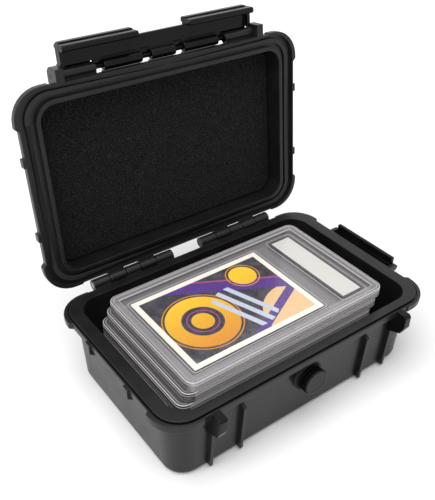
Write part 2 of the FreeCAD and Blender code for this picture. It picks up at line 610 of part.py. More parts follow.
def make_lid():
    body = new_body("lid_shell")
    hang_on_hinge(body)
    hollow_x = size.lid_cavity_length.half()
    hollow_y = size.lid_cavity_depth.half()
    outer_x = hollow_x + size.lid_wall
    outer_y = hollow_y + size.lid_wall
    outer_corner = size.lid_cavity_corner + size.lid_wall
    # Flange with the same corner bumpers as the base
    sketch = sketch_on(body, "LidFlange", "XY_Plane")
    half_x = size.flange_length.half() + size.bumper_end
    half_y = size.flange_depth.half() + size.bumper_side
    rounded(sketch, half_x, half_y, size.bumper_corner, mid_y=lid_mid)
    pad(body, sketch, size.lid_flange)
    flange = cut_recesses(body, "LidRecess", size.lid_flange, size.lid_flange, lid_mid)
    flange = fillet_level(body, flange, "LidFlangeEdge", size.lid_flange, size.flange_edge)
    fillet_level(body, flange, "LidFlangeFace", zero, size.flange_edge)
    # Shallow tray with a rounded top edge
    sketch = sketch_on(body, "LidTray", "XY_Plane")
    rounded(sketch, outer_x, outer_y, outer_corner, mid_y=lid_mid)
    tray = pad(body, sketch, size.lid_depth)
    fillet_level(body, tray, "LidTop", size.lid_depth, size.lid_round)
    # Ribs on both ends
    fittings = doc.addObject("PartDesign::Body", "LidFittings")
    sketch = sketch_on(fittings, "LidEndRibs", "XY_Plane")
    for side, sign in sides:
        for row, way in rows:
            near = (size.flange_length.half() - size.tongue_inset) * sign
            far = (size.flange_length.half() + size.end_rib_out) * sign
            middle = lid_mid + size.lid_rib_mid * way
            polygon(sketch, (
                (near, middle - size.lid_rib_width.half()),
                (far, middle - size.lid_rib_width.half()),
                (far, middle + size.lid_rib_width.half()),
                (near, middle + size.lid_rib_width.half()),
            ))
    pad(fittings, sketch, size.lid_flange)
    # Latch guards and the lugs that carry the latch pin
    guard_front = lid_front - size.ear_out
    lug_root = size.lid_flange - size.root_bite
    for side, sign in sides:
        start = span_start(sign, size.ear_inner, size.ear_inner + size.ear_width)
        prism_x(fittings, "LidGuard_" + side, start, size.ear_width, (
            (lid_front + size.root_bite, zero),
            (guard_front, zero),
            (guard_front, size.ear_rise - size.ear_slope),
            (guard_front + size.ear_slope, size.ear_rise),
            (lid_front + size.ear_top_back, size.ear_rise),
            (lid_front + size.ear_back, size.lid_flange),
            (lid_front + size.ear_back, lug_root),
        ))
        start = span_start(sign, size.lug_start, size.ear_inner)
        width = size.ear_inner - size.lug_start
        prism_x(fittings, "LidLug_" + side, start, width, (
            (lid_front + size.ear_back, lug_root),
            (lid_front, lug_root),
            (lid_front, size.lid_flange),
            (latch_y, size.latch_up - size.barrel_round),
            (latch_y, size.latch_up + size.barrel_round),
            (lid_front + size.ear_back, size.lid_flange),
        ))
        rod_x(fittings, "LidLugEnd_" + side, start, width, latch_y, size.latch_up, size.barrel_round)
    # Webs between the lugs, behind each length of the latch barrel
    near = latch_y + size.barrel_round + size.web_gap
    for mark, start, length in barrel_lengths:
        prism_x(fittings, "LidWeb_" + mark, start, length, (
            (lid_front + size.ear_back, lug_root),
            (near, lug_root),
            (near, size.web_rise),
            (lid_front + size.ear_back, size.lid_flange),
        ))
    end = size.ear_inner + size.ear_width
    bore_x(fittings, "LatchPinBore", end, end + end, latch_y, size.latch_up, size.latch_pin_round + size.pin_fit)
    # Hinge knuckles
    root = -(size.hinge_out + size.root_bite)
    leaves = (("a", size.leaf_first), ("b", size.leaf_second))
    for side, sign in sides:
        for mark, near in leaves:
            start = span_start(sign, near, near + size.leaf_width)
            prism_x(fittings, "LeafWeb_%s_%s" % (side, mark), start, size.leaf_width, (
                (root, zero),
                (zero, zero),
                (zero, size.knuckle_round),
                (root, size.knuckle_round),
            ))
            name = "LeafKnuckle_%s_%s" % (side, mark)
            rod_x(fittings, name, start, size.leaf_width, zero, zero, size.knuckle_round)
            name = "LeafBore_%s_%s" % (side, mark)
            bore = size.pin_round + size.pin_fit
            bore_x(fittings, name, start + size.leaf_width, size.leaf_width, zero, zero, bore)
    join(body, fittings)
    # Hollow and seal channel, cut from the flange face
    sketch = sketch_on(body, "LidHollow", "XY_Plane")
    rounded(sketch, hollow_x, hollow_y, size.lid_cavity_corner, mid_y=lid_mid)
    pocket(body, sketch, size.lid_depth - size.lid_roof, reverse=True)
    sketch = sketch_on(body, "LidChannel", "XY_Plane")
    reach = size.channel_fit - size.tongue_inset
    half_x = size.flange_length.half() + reach
    half_y = size.flange_depth.half() + reach
    rounded(sketch, half_x, half_y, size.tongue_corner + size.channel_fit, mid_y=lid_mid)
    rounded(sketch, outer_x, outer_y, outer_corner, mid_y=lid_mid)
    pocket(body, sketch, size.channel_depth, reverse=True)


def make_lid_lining():
    # Seal lying on the floor of the channel
    body = new_body("lid_gasket")
    hang_on_hinge(body)
    reach = size.channel_fit - size.tongue_inset
    inner_x = size.lid_cavity_length.half() + size.lid_wall
    inner_y = size.lid_cavity_depth.half() + size.lid_wall
    inner_corner = size.lid_cavity_corner + size.lid_wall
    path_x = (inner_x + size.flange_length.half() + reach).half()
    path_y = (inner_y + size.flange_depth.half() + reach).half()
    path_corner = (inner_corner + size.tongue_corner + size.channel_fit).half()
    seal_half = (size.flange_depth.half() + reach - inner_y).half() * size.gasket_share
    sketch = sketch_on(body, "GasketRing", "XY_Plane", size.channel_depth - size.gasket_thick)
    for sign in (1, -1):
        change = seal_half * sign
        rounded(sketch, path_x + change, path_y + change, path_corner + change, mid_y=lid_mid)
    pad(body, sketch, size.gasket_thick)
    # Foam sheet under the lid top
    body = new_body("lid_foam")
    hang_on_hinge(body)
    sketch = sketch_on(body, "FoamSheet", "XY_Plane", size.foam_face)
    half_x = size.lid_cavity_length.half() - size.foam_gap
    half_y = size.lid_cavity_depth.half() - size.foam_gap
    rounded(sketch, half_x, half_y, size.lid_cavity_corner - size.foam_gap, mid_y=lid_mid)
    pad(body, sketch, size.foam_thick)


def make_latch():
    # Drawn closed, hanging from the latch axis as its origin
    body = new_body("latch")
    turn = FreeCAD.Rotation(FreeCAD.Vector(-1, 0, 0), 1)
    body.Placement = FreeCAD.Placement(FreeCAD.Vector(), turn)
    body.setExpression("Placement.Rotation.Angle", (size.lid_open + size.latch_open).text)
    out = cosine(size.lid_open) * latch_y + sine(size.lid_open) * size.latch_up
    rise = cosine(size.lid_open) * size.latch_up - sine(size.lid_open) * latch_y
    body.setExpression("Placement.Base.y", (hinge_y + out).text)
    body.setExpression("Placement.Base.z", (parting + rise).text)
    inner = -size.plate_offset
    outer = -(size.plate_offset + size.plate_thick)
    hook_top = -size.hook_reach
    hook_foot = hook_top - size.hook_thick
    # Middle plate from end to end down to the notch
    prism_x(body, "LatchPlate", -size.latch_half, size.latch_half + size.latch_half, (
        (outer, -size.plate_start),
        (inner, -size.plate_start),
        (inner, hook_top),
        (outer, hook_top),
    ))
    # Finger lips with their hooks, and the end walls
    for side, sign in sides:
        start = span_start(sign, size.notch_half, size.latch_half)
        width = size.latch_half - size.notch_half
        prism_x(body, "LatchLip_" + side, start, width, (
            (outer, -size.plate_start),
            (inner, -size.plate_start),
            (inner, hook_top),
            (size.hook_in, hook_top),
            (size.hook_in, hook_foot),
            (inner, hook_foot),
            (inner, -size.lip_reach),
            (outer - size.bead_out, -size.lip_reach),
            (outer - size.bead_out, size.bead_height - size.lip_reach),
            (outer, size.bead_height + size.bead_out - size.lip_reach),
        ))
        start = span_start(sign, size.lug_start, size.latch_half)
        apron_in = -(size.barrel_round + size.apron_gap)
        apron_out = apron_in - size.apron_thick
        apron_foot = -(size.plate_start + size.root_bite)
        prism_x(body, "LatchApron_" + side, start, size.latch_half - size.lug_start, (
            (apron_out, zero),
            (apron_in, zero),
            (apron_in, -size.plate_start),
            (inner, -size.plate_start),
            (inner, apron_foot),
            (apron_out, apron_foot),
        ))
        start = span_start(sign, size.latch_half - size.cheek_width, size.latch_half)
        prism_x(body, "LatchCheek_" + side, start, size.cheek_width, (
            (outer, -size.plate_start),
            (size.cheek_in, -size.plate_start),
            (size.cheek_in, hook_foot),
            (outer, hook_foot),
        ))
        # Bridges over the windows beside the barrel lengths
        bridge_top = -(size.latch_pin_round + size.pin_fit + size.bridge_gap)
        windows = (
            ("inner", size.break_start, size.break_end),
            ("outer", size.barrel_half, size.lug_start - size.bridge_gap),
        )
        for place, near, far in windows:
            start = span_start(sign, near, far)
            prism_x(body, "LatchBridge_%s_%s" % (side, place), start, far - near, (
                (outer, bridge_top),
                (inner, bridge_top),
                (inner, -(size.plate_start + size.root_bite)),
                (outer, -(size.plate_start + size.root_bite)),
            ))
    # Barrel in three lengths, joined to the plate
    for mark, start, length in barrel_lengths:
        prism_x(body, "LatchNeck_" + mark, start, length, (
            (outer, zero),
            (inner, zero),
            (inner, -(size.plate_start + size.root_bite)),
            (outer, -(size.plate_start + size.root_bite)),
        ))
        rod_x(body, "LatchBarrel_" + mark, start, length, zero, zero, size.barrel_round)
    length = size.barrel_half + size.barrel_half
    bore_x(body, "LatchBore", size.barrel_half, length, zero, zero, size.latch_pin_round + size.pin_fit)


def make_pins():
    for side, sign in sides:
        body = new_body("hinge_pin_" + side)
        start = span_start(sign, size.hinge_start, size.hinge_end)
        name = "HingePin_" + side
        rod_x(body, name, start, size.hinge_end - size.hinge_start, hinge_y, parting, size.pin_round)
    body = new_body("latch_pin")
    hang_on_hinge(body)
    end = size.ear_inner + size.ear_width
    rod_x(body, "LatchPin", -end, end + end, latch_y, size.latch_up, size.latch_pin_round)
    reach = size.bar_half - size.bar_pin_reach
    far = size.bar_half + size.bar_lug_gap + size.bar_lug_width
    for side, start in (("front", -reach), ("back", far)):
        body = new_body("strap_pin_" + side)
        rod_front(body, "StrapPin_" + side, start, far - reach, bar_x, bar_z, size.bar_pin_round)


def make_strap_bar():
    body = new_body("strap_bar")
    length = size.bar_half + size.bar_half
    rod_front(body, "StrapBarrel", size.bar_half, length, bar_x, bar_z, size.bar_barrel)
    near = bar_x - size.bar_thick.half()
    far = bar_x + size.bar_thick.half()
    prism_front(body, "StrapPlate", size.bar_half, length, (
        (near, bar_z),
        (far, bar_z),
        (far, bar_z + size.bar_rise),
        (near, bar_z + size.bar_rise),
    ))
    for side, end in (("front", -size.bar_half), ("back", size.bar_half)):
        sketch = sketch_on(body, "StrapBore_" + side, "XZ_Plane", -end)
        circle(sketch, bar_x, bar_z, size.bar_pin_round + size.pin_fit)
        pocket(body, sketch, size.bar_pin_reach + size.bar_lug_gap, reverse=(side == "back"))


def make_valve():
    body = new_body("valve_washer")
    rod_front(body, "ValveWasher", boss_face, size.washer_thick, zero, size.valve_height, size.washer_round)
    sketch = sketch_on(body, "WasherBore", "XZ_Plane", -collar_back)
    circle(sketch, zero, size.valve_height, size.stem_round + size.stem_fit)
    pocket(body, sketch, size.washer_thick)
    # Stem through the wall, collar outside, spigot for the knob
    body = new_body("valve_body")
    stem_back = nut_seat + size.nut_thick
    rod_front(body, "ValveStem", stem_back, stem_back - collar_back, zero, size.valve_height, size.stem_round)
    name = "ValveCollar"
    rod_front(body, name, collar_back, size.collar_thick, zero, size.valve_height, size.collar_round)
    name = "ValveSpigot"
    rod_front(body, name, collar_face, size.spigot_length, zero, size.valve_height, size.spigot_round)
    # Hexagonal nut on the inside
    body = new_body("valve_nut")
    half_turn = math.pi
    nut_round = size.nut_flat.half() * (1 / math.cos(half_turn / nut_sides))
    corners = []
    for step in range(nut_sides):
        angle = 2 * half_turn * step / nut_sides
        x = nut_round * math.cos(angle)
        z = size.valve_height + nut_round * math.sin(angle)
        corners.append((x, z))
    prism_front(body, "ValveNut", nut_seat + size.nut_thick, size.nut_thick, corners)
    sketch = sketch_on(body, "NutBore", "XZ_Plane", -nut_seat)
    circle(sketch, zero, size.valve_height, size.stem_round + size.stem_fit)
    pocket(body, sketch, size.nut_thick)
    # Knob with grip grooves, drawn about its own axis
    body = new_body("valve_knob")
    body.setExpression("Placement.Base.y", (collar_face - size.knob_gap).text)
    body.setExpression("Placement.Base.z", size.valve_height.text)
    sketch = sketch_on(body, "KnobDisc", "XZ_Plane")
    circle(sketch, zero, zero, size.knob_round)
    disc = pad(body, sketch, size.knob_thick)
    doc.recompute()
    face_edges = []
    for index, edge in enumerate(disc.Shape.Edges, start=1):
        if len(edge.Vertexes) == 1 and edge.BoundBox.YMax < -size.knob_thick.number / 2:
            face_edges.append("Edge%d" % index)
    bevel = body.newObject("PartDesign::Chamfer", "KnobBevel")
    bevel.Base = (disc, face_edges)
    bevel.setExpression("Size", size.knob_edge.text)
    body.Tip = bevel
    sketch = sketch_on(body, "KnobBore", "XZ_Plane")
    circle(sketch, zero, zero, size.spigot_round + size.pin_fit)
    pocket(body, sketch, size.spigot_length, reverse=True)
    sketch = sketch_on(body, "KnobGrip", "XZ_Plane")
    circle(sketch, size.knob_round, zero, size.grip_round)
    groove = pocket(body, sketch, size.knob_thick, reverse=True)
    pattern = body.newObject("PartDesign::PolarPattern", "KnobGrips")
    pattern.Originals = [groove]
    pattern.Axis = (sketch, ["N_Axis"])
    pattern.Angle = 360
    pattern.Occurrences = grip_count
    body.Tip = pattern


def place_slab(body, level):
    shift = size.shift_rest
    if level == slab_count:
        shift = zero
    if level == slab_count - 1:
        shift = size.shift_second
    body.setExpression("Placement.Base.x", (size.slab_x - shift).text)
    body.setExpression("Placement.Base.y", size.slab_y.text)
    body.setExpression("Placement.Base.z", (size.floor_wall + size.slab_thick * (level - 1)).text)


def make_slab(level):
    # Back half with wells for the card and the label
    half_x = size.slab_length.half()
    half_y = size.slab_width.half()
    card_half = (size.card_length.half(), size.card_width.half())
    label_half = (size.label_length.half(), size.label_width.half())
    card_floor = size.slab_back - size.card_thick - size.well_air
    label_floor = size.slab_back - size.label_thick - size.well_air
    name = "slab_%d_" % level
    body = new_body(name + "back")
    place_slab(body, level)
    sketch = sketch_on(body, name + "Tray", "XY_Plane")
    rounded(sketch, half_x, half_y, size.slab_corner)
    pad(body, sketch, size.slab_back)
    sketch = sketch_on(body, name + "CardWell", "XY_Plane", size.slab_back)
    well_x = card_half[0] + size.well_gap
    well_y = card_half[1] + size.well_gap
    rounded(sketch, well_x, well_y, size.card_corner + size.well_gap, size.card_x, size.card_y)
    pocket(body, sketch, size.card_thick + size.well_air)
    sketch = sketch_on(body, name + "LabelWell", "XY_Plane", size.slab_back)
    well_x = label_half[0] + size.well_gap
    well_y = label_half[1] + size.well_gap
    rounded(sketch, well_x, well_y, size.label_corner + size.well_gap, size.label_x, size.card_y)
    pocket(body, sketch, size.label_thick + size.well_air)
    # Front half with a raised frame round its window
    body = new_body(name + "front")
    place_slab(body, level)
    sketch = sketch_on(body, name + "Cover", "XY_Plane", size.slab_back)
    rounded(sketch, half_x, half_y, size.slab_corner)
    pad(body, sketch, size.slab_thick - size.slab_back)
    sketch = sketch_on(body, name + "Window", "XY_Plane", size.slab_thick)
    rounded(sketch, half_x - size.window_margin, half_y - size.window_margin, size.slab_corner)
    window = pocket(body, sketch, size.window_depth)
    fillet_level(body, window, name + "Edge", size.slab_thick, size.slab_edge)
    # Card and label lying on the floors of their wells
    body = new_body(name + "card")
    place_slab(body, level)
    sketch = sketch_on(body, name + "CardSheet", "XY_Plane", card_floor)
    rounded(sketch, card_half[0], card_half[1], size.card_corner, size.card_x, size.card_y)
    pad(body, sketch, size.card_thick)
    body = new_body(name + "label")
    place_slab(body, level)
    sketch = sketch_on(body, name + "LabelSheet", "XY_Plane", label_floor)
    rounded(sketch, label_half[0], label_half[1], size.label_corner, size.label_x, size.card_y)
    pad(body, sketch, size.label_thick)


make_base()
make_lid()
make_lid_lining()
make_latch()
make_pins()
make_strap_bar()
make_valve()
for level in range(1, slab_count + 1):
    make_slab(level)
doc.recompute()

for item in doc.Objects:
    if "Invalid" in item.State or "Error" in item.State:
        raise RuntimeError("%s did not build" % item.Name)
os.makedirs("parts", exist_ok=True)
for body in finished:
    if body.Shape.isNull() or not body.Shape.isValid():
        raise RuntimeError("%s has no valid shape" % body.Label)
    if len(body.Shape.Solids) != 1:
        raise RuntimeError("%s is not one solid" % body.Label)
    body.Shape.exportStep("parts/%s.step" % body.Label)
    print(body.Label, round(body.Shape.Volume, 1))
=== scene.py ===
import bmesh
import bpy
import json
import math
from mathutils import Matrix, Vector, noise

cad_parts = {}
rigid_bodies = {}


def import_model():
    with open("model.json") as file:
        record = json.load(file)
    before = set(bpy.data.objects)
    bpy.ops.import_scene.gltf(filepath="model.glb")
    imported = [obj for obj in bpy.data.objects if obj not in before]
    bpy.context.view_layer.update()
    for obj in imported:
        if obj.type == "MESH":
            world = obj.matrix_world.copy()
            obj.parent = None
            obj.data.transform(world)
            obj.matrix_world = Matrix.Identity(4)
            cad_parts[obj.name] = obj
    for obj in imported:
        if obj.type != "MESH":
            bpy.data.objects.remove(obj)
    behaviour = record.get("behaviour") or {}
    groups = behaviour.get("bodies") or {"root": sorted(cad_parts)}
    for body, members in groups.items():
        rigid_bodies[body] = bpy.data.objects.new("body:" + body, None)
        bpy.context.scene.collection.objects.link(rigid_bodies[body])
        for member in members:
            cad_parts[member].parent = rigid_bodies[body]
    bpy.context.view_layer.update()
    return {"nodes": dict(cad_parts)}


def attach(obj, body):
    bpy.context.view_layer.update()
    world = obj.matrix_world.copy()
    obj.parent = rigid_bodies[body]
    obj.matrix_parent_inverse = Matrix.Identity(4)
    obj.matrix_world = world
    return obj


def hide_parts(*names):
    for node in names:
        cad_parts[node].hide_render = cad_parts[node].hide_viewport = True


mm = 0.001
# Hair's breadth between faces that would otherwise lie in one plane
hair = 0.02
# Reach of most noise values, and of their middle
wideSpan = (0.3, 0.7)
tightSpan = (0.35, 0.65)
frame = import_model()
print("frame loaded")


def linear(code):
    # Web colour to linear light
    parts = [int(code[i:i + 2], 16) / 255 for i in (1, 3, 5)]
    return tuple(p / 12.92 if p <= 0.04045 else ((p + 0.055) / 1.055) ** 2.4 for p in parts) + (1.0,)


def addNode(tree, kind, inputs=None, **settings):
    # New node; an input is a value, a socket, or a node whose first output in use is linked
    node = tree.nodes.new(kind)
    for key, value in settings.items():
        setattr(node, key, value)
    for key, value in (inputs or {}).items():
        if isinstance(value, bpy.types.Node):
            value = next(socket for socket in value.outputs if socket.enabled)
        if isinstance(value, bpy.types.NodeSocket):
            tree.links.new(value, node.inputs[key])
        else:
            node.inputs[key].default_value = value
    return node


def startMaterial(name):
    material = bpy.data.materials.new(name)
    material.use_nodes = True
    material.node_tree.nodes.clear()
    return material, material.node_tree


def closeMaterial(tree, inputs):
    # Main shader and output
    shader = addNode(tree, "ShaderNodeBsdfPrincipled", inputs)
    addNode(tree, "ShaderNodeOutputMaterial", {"Surface": shader})


def remap(value, taken, given=(0.0, 1.0)):
    # Inputs that stretch one span of a value over another
    return {"Value": value, "From Min": taken[0], "From Max": taken[1],
            "To Min": given[0], "To Max": given[1]}


def speckle(place, size, detail=2.0):
    # Inputs of noise with spots of about a given size
    return {"Vector": place, "Scale": 1 / size, "Detail": detail}


polymer = {
    "relief": 0.1, "edge": 0.3, "cloud": 14.0,
    "shell": {"dark": "#151516", "pale": "#1c1c1d", "rough": (0.31, 0.37), "specular": 0.28,
              "grain": 0.4, "bump": 0.08},
    "latch": {"dark": "#0a0a0b", "pale": "#0f0f10", "rough": (0.16, 0.24), "specular": 0.16,
              "grain": 0.5, "bump": 0.03},
}


def makePolymer(name, values):
    # Injection-moulded polypropylene: charcoal, satin, fine spark-eroded grain, faint flow clouds
    material, tree = startMaterial(name)
    place = addNode(tree, "ShaderNodeTexCoord").outputs["Object"]
    grain = addNode(tree, "ShaderNodeTexNoise", speckle(place, values["grain"] * mm, 3.0))
    cloud = addNode(tree, "ShaderNodeTexNoise", speckle(place, polymer["cloud"] * mm, 4.0))
    tone = addNode(tree, "ShaderNodeMapRange", remap(cloud, wideSpan))
    ends = {0: tone, 6: linear(values["dark"]), 7: linear(values["pale"])}
    colour = addNode(tree, "ShaderNodeMix", ends, data_type="RGBA")
    rough = addNode(tree, "ShaderNodeMapRange", remap(cloud, tightSpan, values["rough"]))
    edge = addNode(tree, "ShaderNodeBevel", {"Radius": polymer["edge"] * mm}, samples=4)
    bump = addNode(tree, "ShaderNodeBump", {
        "Height": grain, "Normal": edge, "Strength": values["bump"],
        "Distance": polymer["relief"] * mm})
    closeMaterial(tree, {"Base Color": colour, "Roughness": rough, "Normal": bump,
                         "Specular IOR Level": values["specular"]})
    return material


rubber = {"tone": "#0d0d0d", "rough": (0.6, 0.8), "dust": 0.8, "bump": 0.15, "relief": 0.1}


def makeRubber():
    # Silicone cord: near black, dull, with a dusty bloom
    material, tree = startMaterial("siliconeRubber")
    place = addNode(tree, "ShaderNodeTexCoord").outputs["Object"]
    dust = addNode(tree, "ShaderNodeTexNoise", speckle(place, rubber["dust"] * mm, 5.0))
    rough = addNode(tree, "ShaderNodeMapRange", remap(dust, wideSpan, rubber["rough"]))
    bump = addNode(tree, "ShaderNodeBump", {
        "Height": dust, "Strength": rubber["bump"], "Distance": rubber["relief"] * mm})
    closeMaterial(tree, {"Base Color": linear(rubber["tone"]), "Roughness": rough, "Normal": bump})
    return material


foamLook = {
    "dark": "#0c0c0c", "pale": "#323232", "cell": 0.9, "fleck": 0.7, "span": (0.44, 0.74),
    "bump": 0.6, "relief": 0.3, "rough": 0.95, "specular": 0.15,
}


def makeFoam():
    # Open-cell polyurethane foam: black, with pale cell walls between dark pores
    material, tree = startMaterial("polyurethaneFoam")
    place = addNode(tree, "ShaderNodeTexCoord").outputs["Object"]
    scale = 1 / (foamLook["cell"] * mm)
    cells = addNode(tree, "ShaderNodeTexVoronoi", {"Vector": place, "Scale": scale})
    fleck = addNode(tree, "ShaderNodeTexNoise", speckle(place, foamLook["fleck"] * mm))
    tone = addNode(tree, "ShaderNodeMapRange", remap(fleck, foamLook["span"]))
    ends = {0: tone, 6: linear(foamLook["dark"]), 7: linear(foamLook["pale"])}
    colour = addNode(tree, "ShaderNodeMix", ends, data_type="RGBA")
    bump = addNode(tree, "ShaderNodeBump", {
        "Height": cells, "Strength": foamLook["bump"], "Distance": foamLook["relief"] * mm})
    closeMaterial(tree, {"Base Color": colour, "Roughness": foamLook["rough"], "Normal": bump,
                         "Specular IOR Level": foamLook["specular"]})
    return material


steel = {
    "line": 0.15, "stretch": 0.05,
    "drawn": {"tone": "#8d9094", "rough": (0.22, 0.4)},
    "blackened": {"tone": "#18181a", "rough": (0.3, 0.5)},
}


def makeSteel(name, values):
    # Drawn steel wire: bright or blackened metal with fine lines along its length
    material, tree = startMaterial(name)
    place = addNode(tree, "ShaderNodeTexCoord").outputs["Object"]
    scale = (steel["stretch"], 1.0, 1.0)
    drawn = addNode(tree, "ShaderNodeMapping", {"Vector": place, "Scale": scale})
    line = addNode(tree, "ShaderNodeTexNoise", speckle(drawn, steel["line"] * mm))
    rough = addNode(tree, "ShaderNodeMapRange", remap(line, wideSpan, values["rough"]))
    closeMaterial(tree, {"Base Color": linear(values["tone"]), "Metallic": 1.0, "Roughness": rough})
    return material


# The edge colour is a painted highlight and the shade colour is painted shade, laid on through each
# face's tone
clearLook = {
    "window": "#dcdadd", "body": "#a5a1a4", "edge": "#e2dfe0", "shade": "#262223",
    "alphas": (0.02, 0.5, 0.75, 0.9), "rough": (0.1, 0.15), "flow": 9.0,
    "sheen": 0.18, "gloss": 0.06,
}


def makeClear():
    # Welded polycarbonate: clear windows, hazy edge on, with a painted highlight along eased edges and
    # painted shade in seams and grooves
    material, tree = startMaterial("clearPolycarbonate")
    place = addNode(tree, "ShaderNodeTexCoord").outputs["Object"]
    flow = addNode(tree, "ShaderNodeTexNoise", speckle(place, clearLook["flow"] * mm, 3.0))
    tone = addNode(tree, "ShaderNodeAttribute", attribute_name="tone").outputs["Fac"]
    alphas = clearLook["alphas"]
    colour = linear(clearLook["window"])
    alpha = alphas[0]
    # A face's tone runs from window at 0 to body at 0.5, painted edge highlight at 1 and painted shade
    # at 2
    steps = (("body", (0.0, 0.5)), ("edge", (0.5, 1.0)), ("shade", (1.0, 2.0)))
    for index, (key, span) in enumerate(steps):
        share = addNode(tree, "ShaderNodeMapRange", remap(tone, span))
        ends = {0: share, 6: colour, 7: linear(clearLook[key])}
        colour = addNode(tree, "ShaderNodeMix", ends, data_type="RGBA")
        alpha = addNode(tree, "ShaderNodeMix", {0: share, 2: alpha, 3: alphas[index + 1]})
    rough = addNode(tree, "ShaderNodeMapRange", remap(flow, wideSpan, clearLook["rough"]))
    shader = addNode(tree, "ShaderNodeBsdfPrincipled", {
        "Base Color": colour, "Roughness": rough, "Alpha": alpha})
    # Sheen on outer faces only, so that inner ones do not mirror
    facing = addNode(tree, "ShaderNodeLayerWeight", {"Blend": clearLook["sheen"]}).outputs["Fresnel"]
    behind = addNode(tree, "ShaderNodeNewGeometry").outputs["Backfacing"]
    outside = addNode(tree, "ShaderNodeMath", {0: 1.0, 1: behind}, operation="SUBTRACT")
    sheen = addNode(tree, "ShaderNodeMath", {0: facing, 1: outside}, operation="MULTIPLY")
    gloss = addNode(tree, "ShaderNodeBsdfGlossy", {"Roughness": clearLook["gloss"]})
    both = addNode(tree, "ShaderNodeMixShader", {0: sheen, 1: shader, 2: gloss})
    addNode(tree, "ShaderNodeOutputMaterial", {"Surface": both})
    return material


cardLook = {
    "length": 88.9, "width": 63.5, "border": 3.4, "blur": 0.12, "cloud": 8.0,
    "fade": (-24, 20), "rough": (0.22, 0.32),
    "edge": "#f1eee2", "ground": "#1d1d24", "smoke": "#44414c",
    "gold": "#f6c81f", "amber": "#d98b1c", "violet": "#4f2583", "rose": "#a83f8c",
    "sand": "#e6c08c", "frost": "#c3cada",
    # Colour, then a disc as x, y, inner and outer radius, then a band as angle, offset and half width
    "shapes": (
        ("sand", (36, -30, 0, 27), None),
        ("violet", None, (62, 17, 4.2)),
        ("rose", None, (62, 22.6, 0.7)),
        ("violet", None, (118, -26, 2.6)),
        ("gold", (-19, -3, 12, 21), None),
        ("amber", (-19, -3, 22.2, 22.9), None),
        ("gold", (-19, -3, 0, 6.5), None),
        ("rose", (-19, -3, 8.6, 9.3), None),
        ("gold", (24, 17, 0, 8.5), None),
        ("amber", (24, 17, 9.8, 10.5), None),
        ("frost", (8, -6, 0, 19), (20, -2, 1.7)),
        ("frost", (8, -6, 0, 19), (20, 5, 1.7)),
        ("frost", (8, -6, 0, 19), (20, 12, 1.7)),
    ),
}


def addBorder(tree, axes, look, colour):
    # Plain border round a print
    blur = look["blur"]
    for axis, size in zip(axes.outputs[:2], (look["length"], look["width"])):
        reach = size / 2 - look["border"]
        apart = addNode(tree, "ShaderNodeMath", {0: axis}, operation="ABSOLUTE")
        mask = addNode(tree, "ShaderNodeMapRange", remap(apart, (reach - blur, reach + blur)))
        ends = {0: mask, 6: colour, 7: linear(look["edge"])}
        colour = addNode(tree, "ShaderNodeMix", ends, data_type="RGBA")
    return colour


def makeCard():
    # Coated card stock: glossy four-colour print of rings, bands and bars inside a plain border
    material, tree = startMaterial("printedCard")
    flat = addNode(tree, "ShaderNodeUVMap", uv_map="print").outputs[0]
    axes = addNode(tree, "ShaderNodeSeparateXYZ", {0: flat})
    cloud = addNode(tree, "ShaderNodeTexNoise", speckle(flat, cardLook["cloud"], 5.0))
    blur = cardLook["blur"]
    share = addNode(tree, "ShaderNodeMapRange", remap(cloud, tightSpan))
    ends = {0: share, 6: linear(cardLook["ground"]), 7: linear(cardLook["smoke"])}
    colour = addNode(tree, "ShaderNodeMix", ends, data_type="RGBA")
    share = addNode(tree, "ShaderNodeMapRange", remap(axes.outputs[1], cardLook["fade"]))
    ends = {0: share, 6: linear(cardLook["amber"]), 7: linear(cardLook["gold"])}
    shaded = addNode(tree, "ShaderNodeMix", ends, data_type="RGBA")
    for paint, disc, band in cardLook["shapes"]:
        limits = []
        if disc:
            x, y, inner, outer = disc
            ends = {0: flat, 1: (x, y, 0)}
            far = addNode(tree, "ShaderNodeVectorMath", ends, operation="DISTANCE")
            limits.append((far, (outer + blur, outer - blur)))
            if inner:
                limits.append((far, (inner - blur, inner + blur)))
        if band:
            angle, offset, half = band
            way = (math.cos(math.radians(angle)), math.sin(math.radians(angle)), 0)
            ends = {0: flat, 1: way}
            along = addNode(tree, "ShaderNodeVectorMath", ends, operation="DOT_PRODUCT")
            past = addNode(tree, "ShaderNodeMath", {0: along, 1: offset}, operation="SUBTRACT")
            apart = addNode(tree, "ShaderNodeMath", {0: past}, operation="ABSOLUTE")
            limits.append((apart, (half + blur, half - blur)))
        mask = 1.0
        for limit in limits:
            part = addNode(tree, "ShaderNodeMapRange", remap(*limit))
            mask = addNode(tree, "ShaderNodeMath", {0: mask, 1: part}, operation="MULTIPLY")
        fill = shaded if paint == "gold" else linear(cardLook[paint])
        colour = addNode(tree, "ShaderNodeMix", {0: mask, 6: colour, 7: fill}, data_type="RGBA")
    colour = addBorder(tree, axes, cardLook, colour)
    rough = addNode(tree, "ShaderNodeMapRange", remap(cloud, wideSpan, cardLook["rough"]))
    closeMaterial(tree, {"Base Color": colour, "Roughness": rough})
    return material


labelLook = {
    "length": 17.0, "width": 67.0, "border": 1.5, "blur": 0.1, "fibre": 0.6, "rough": 0.6,
    "paper": "#d6d4d0", "thread": "#c8c6c1", "edge": "#2d2d30",
}


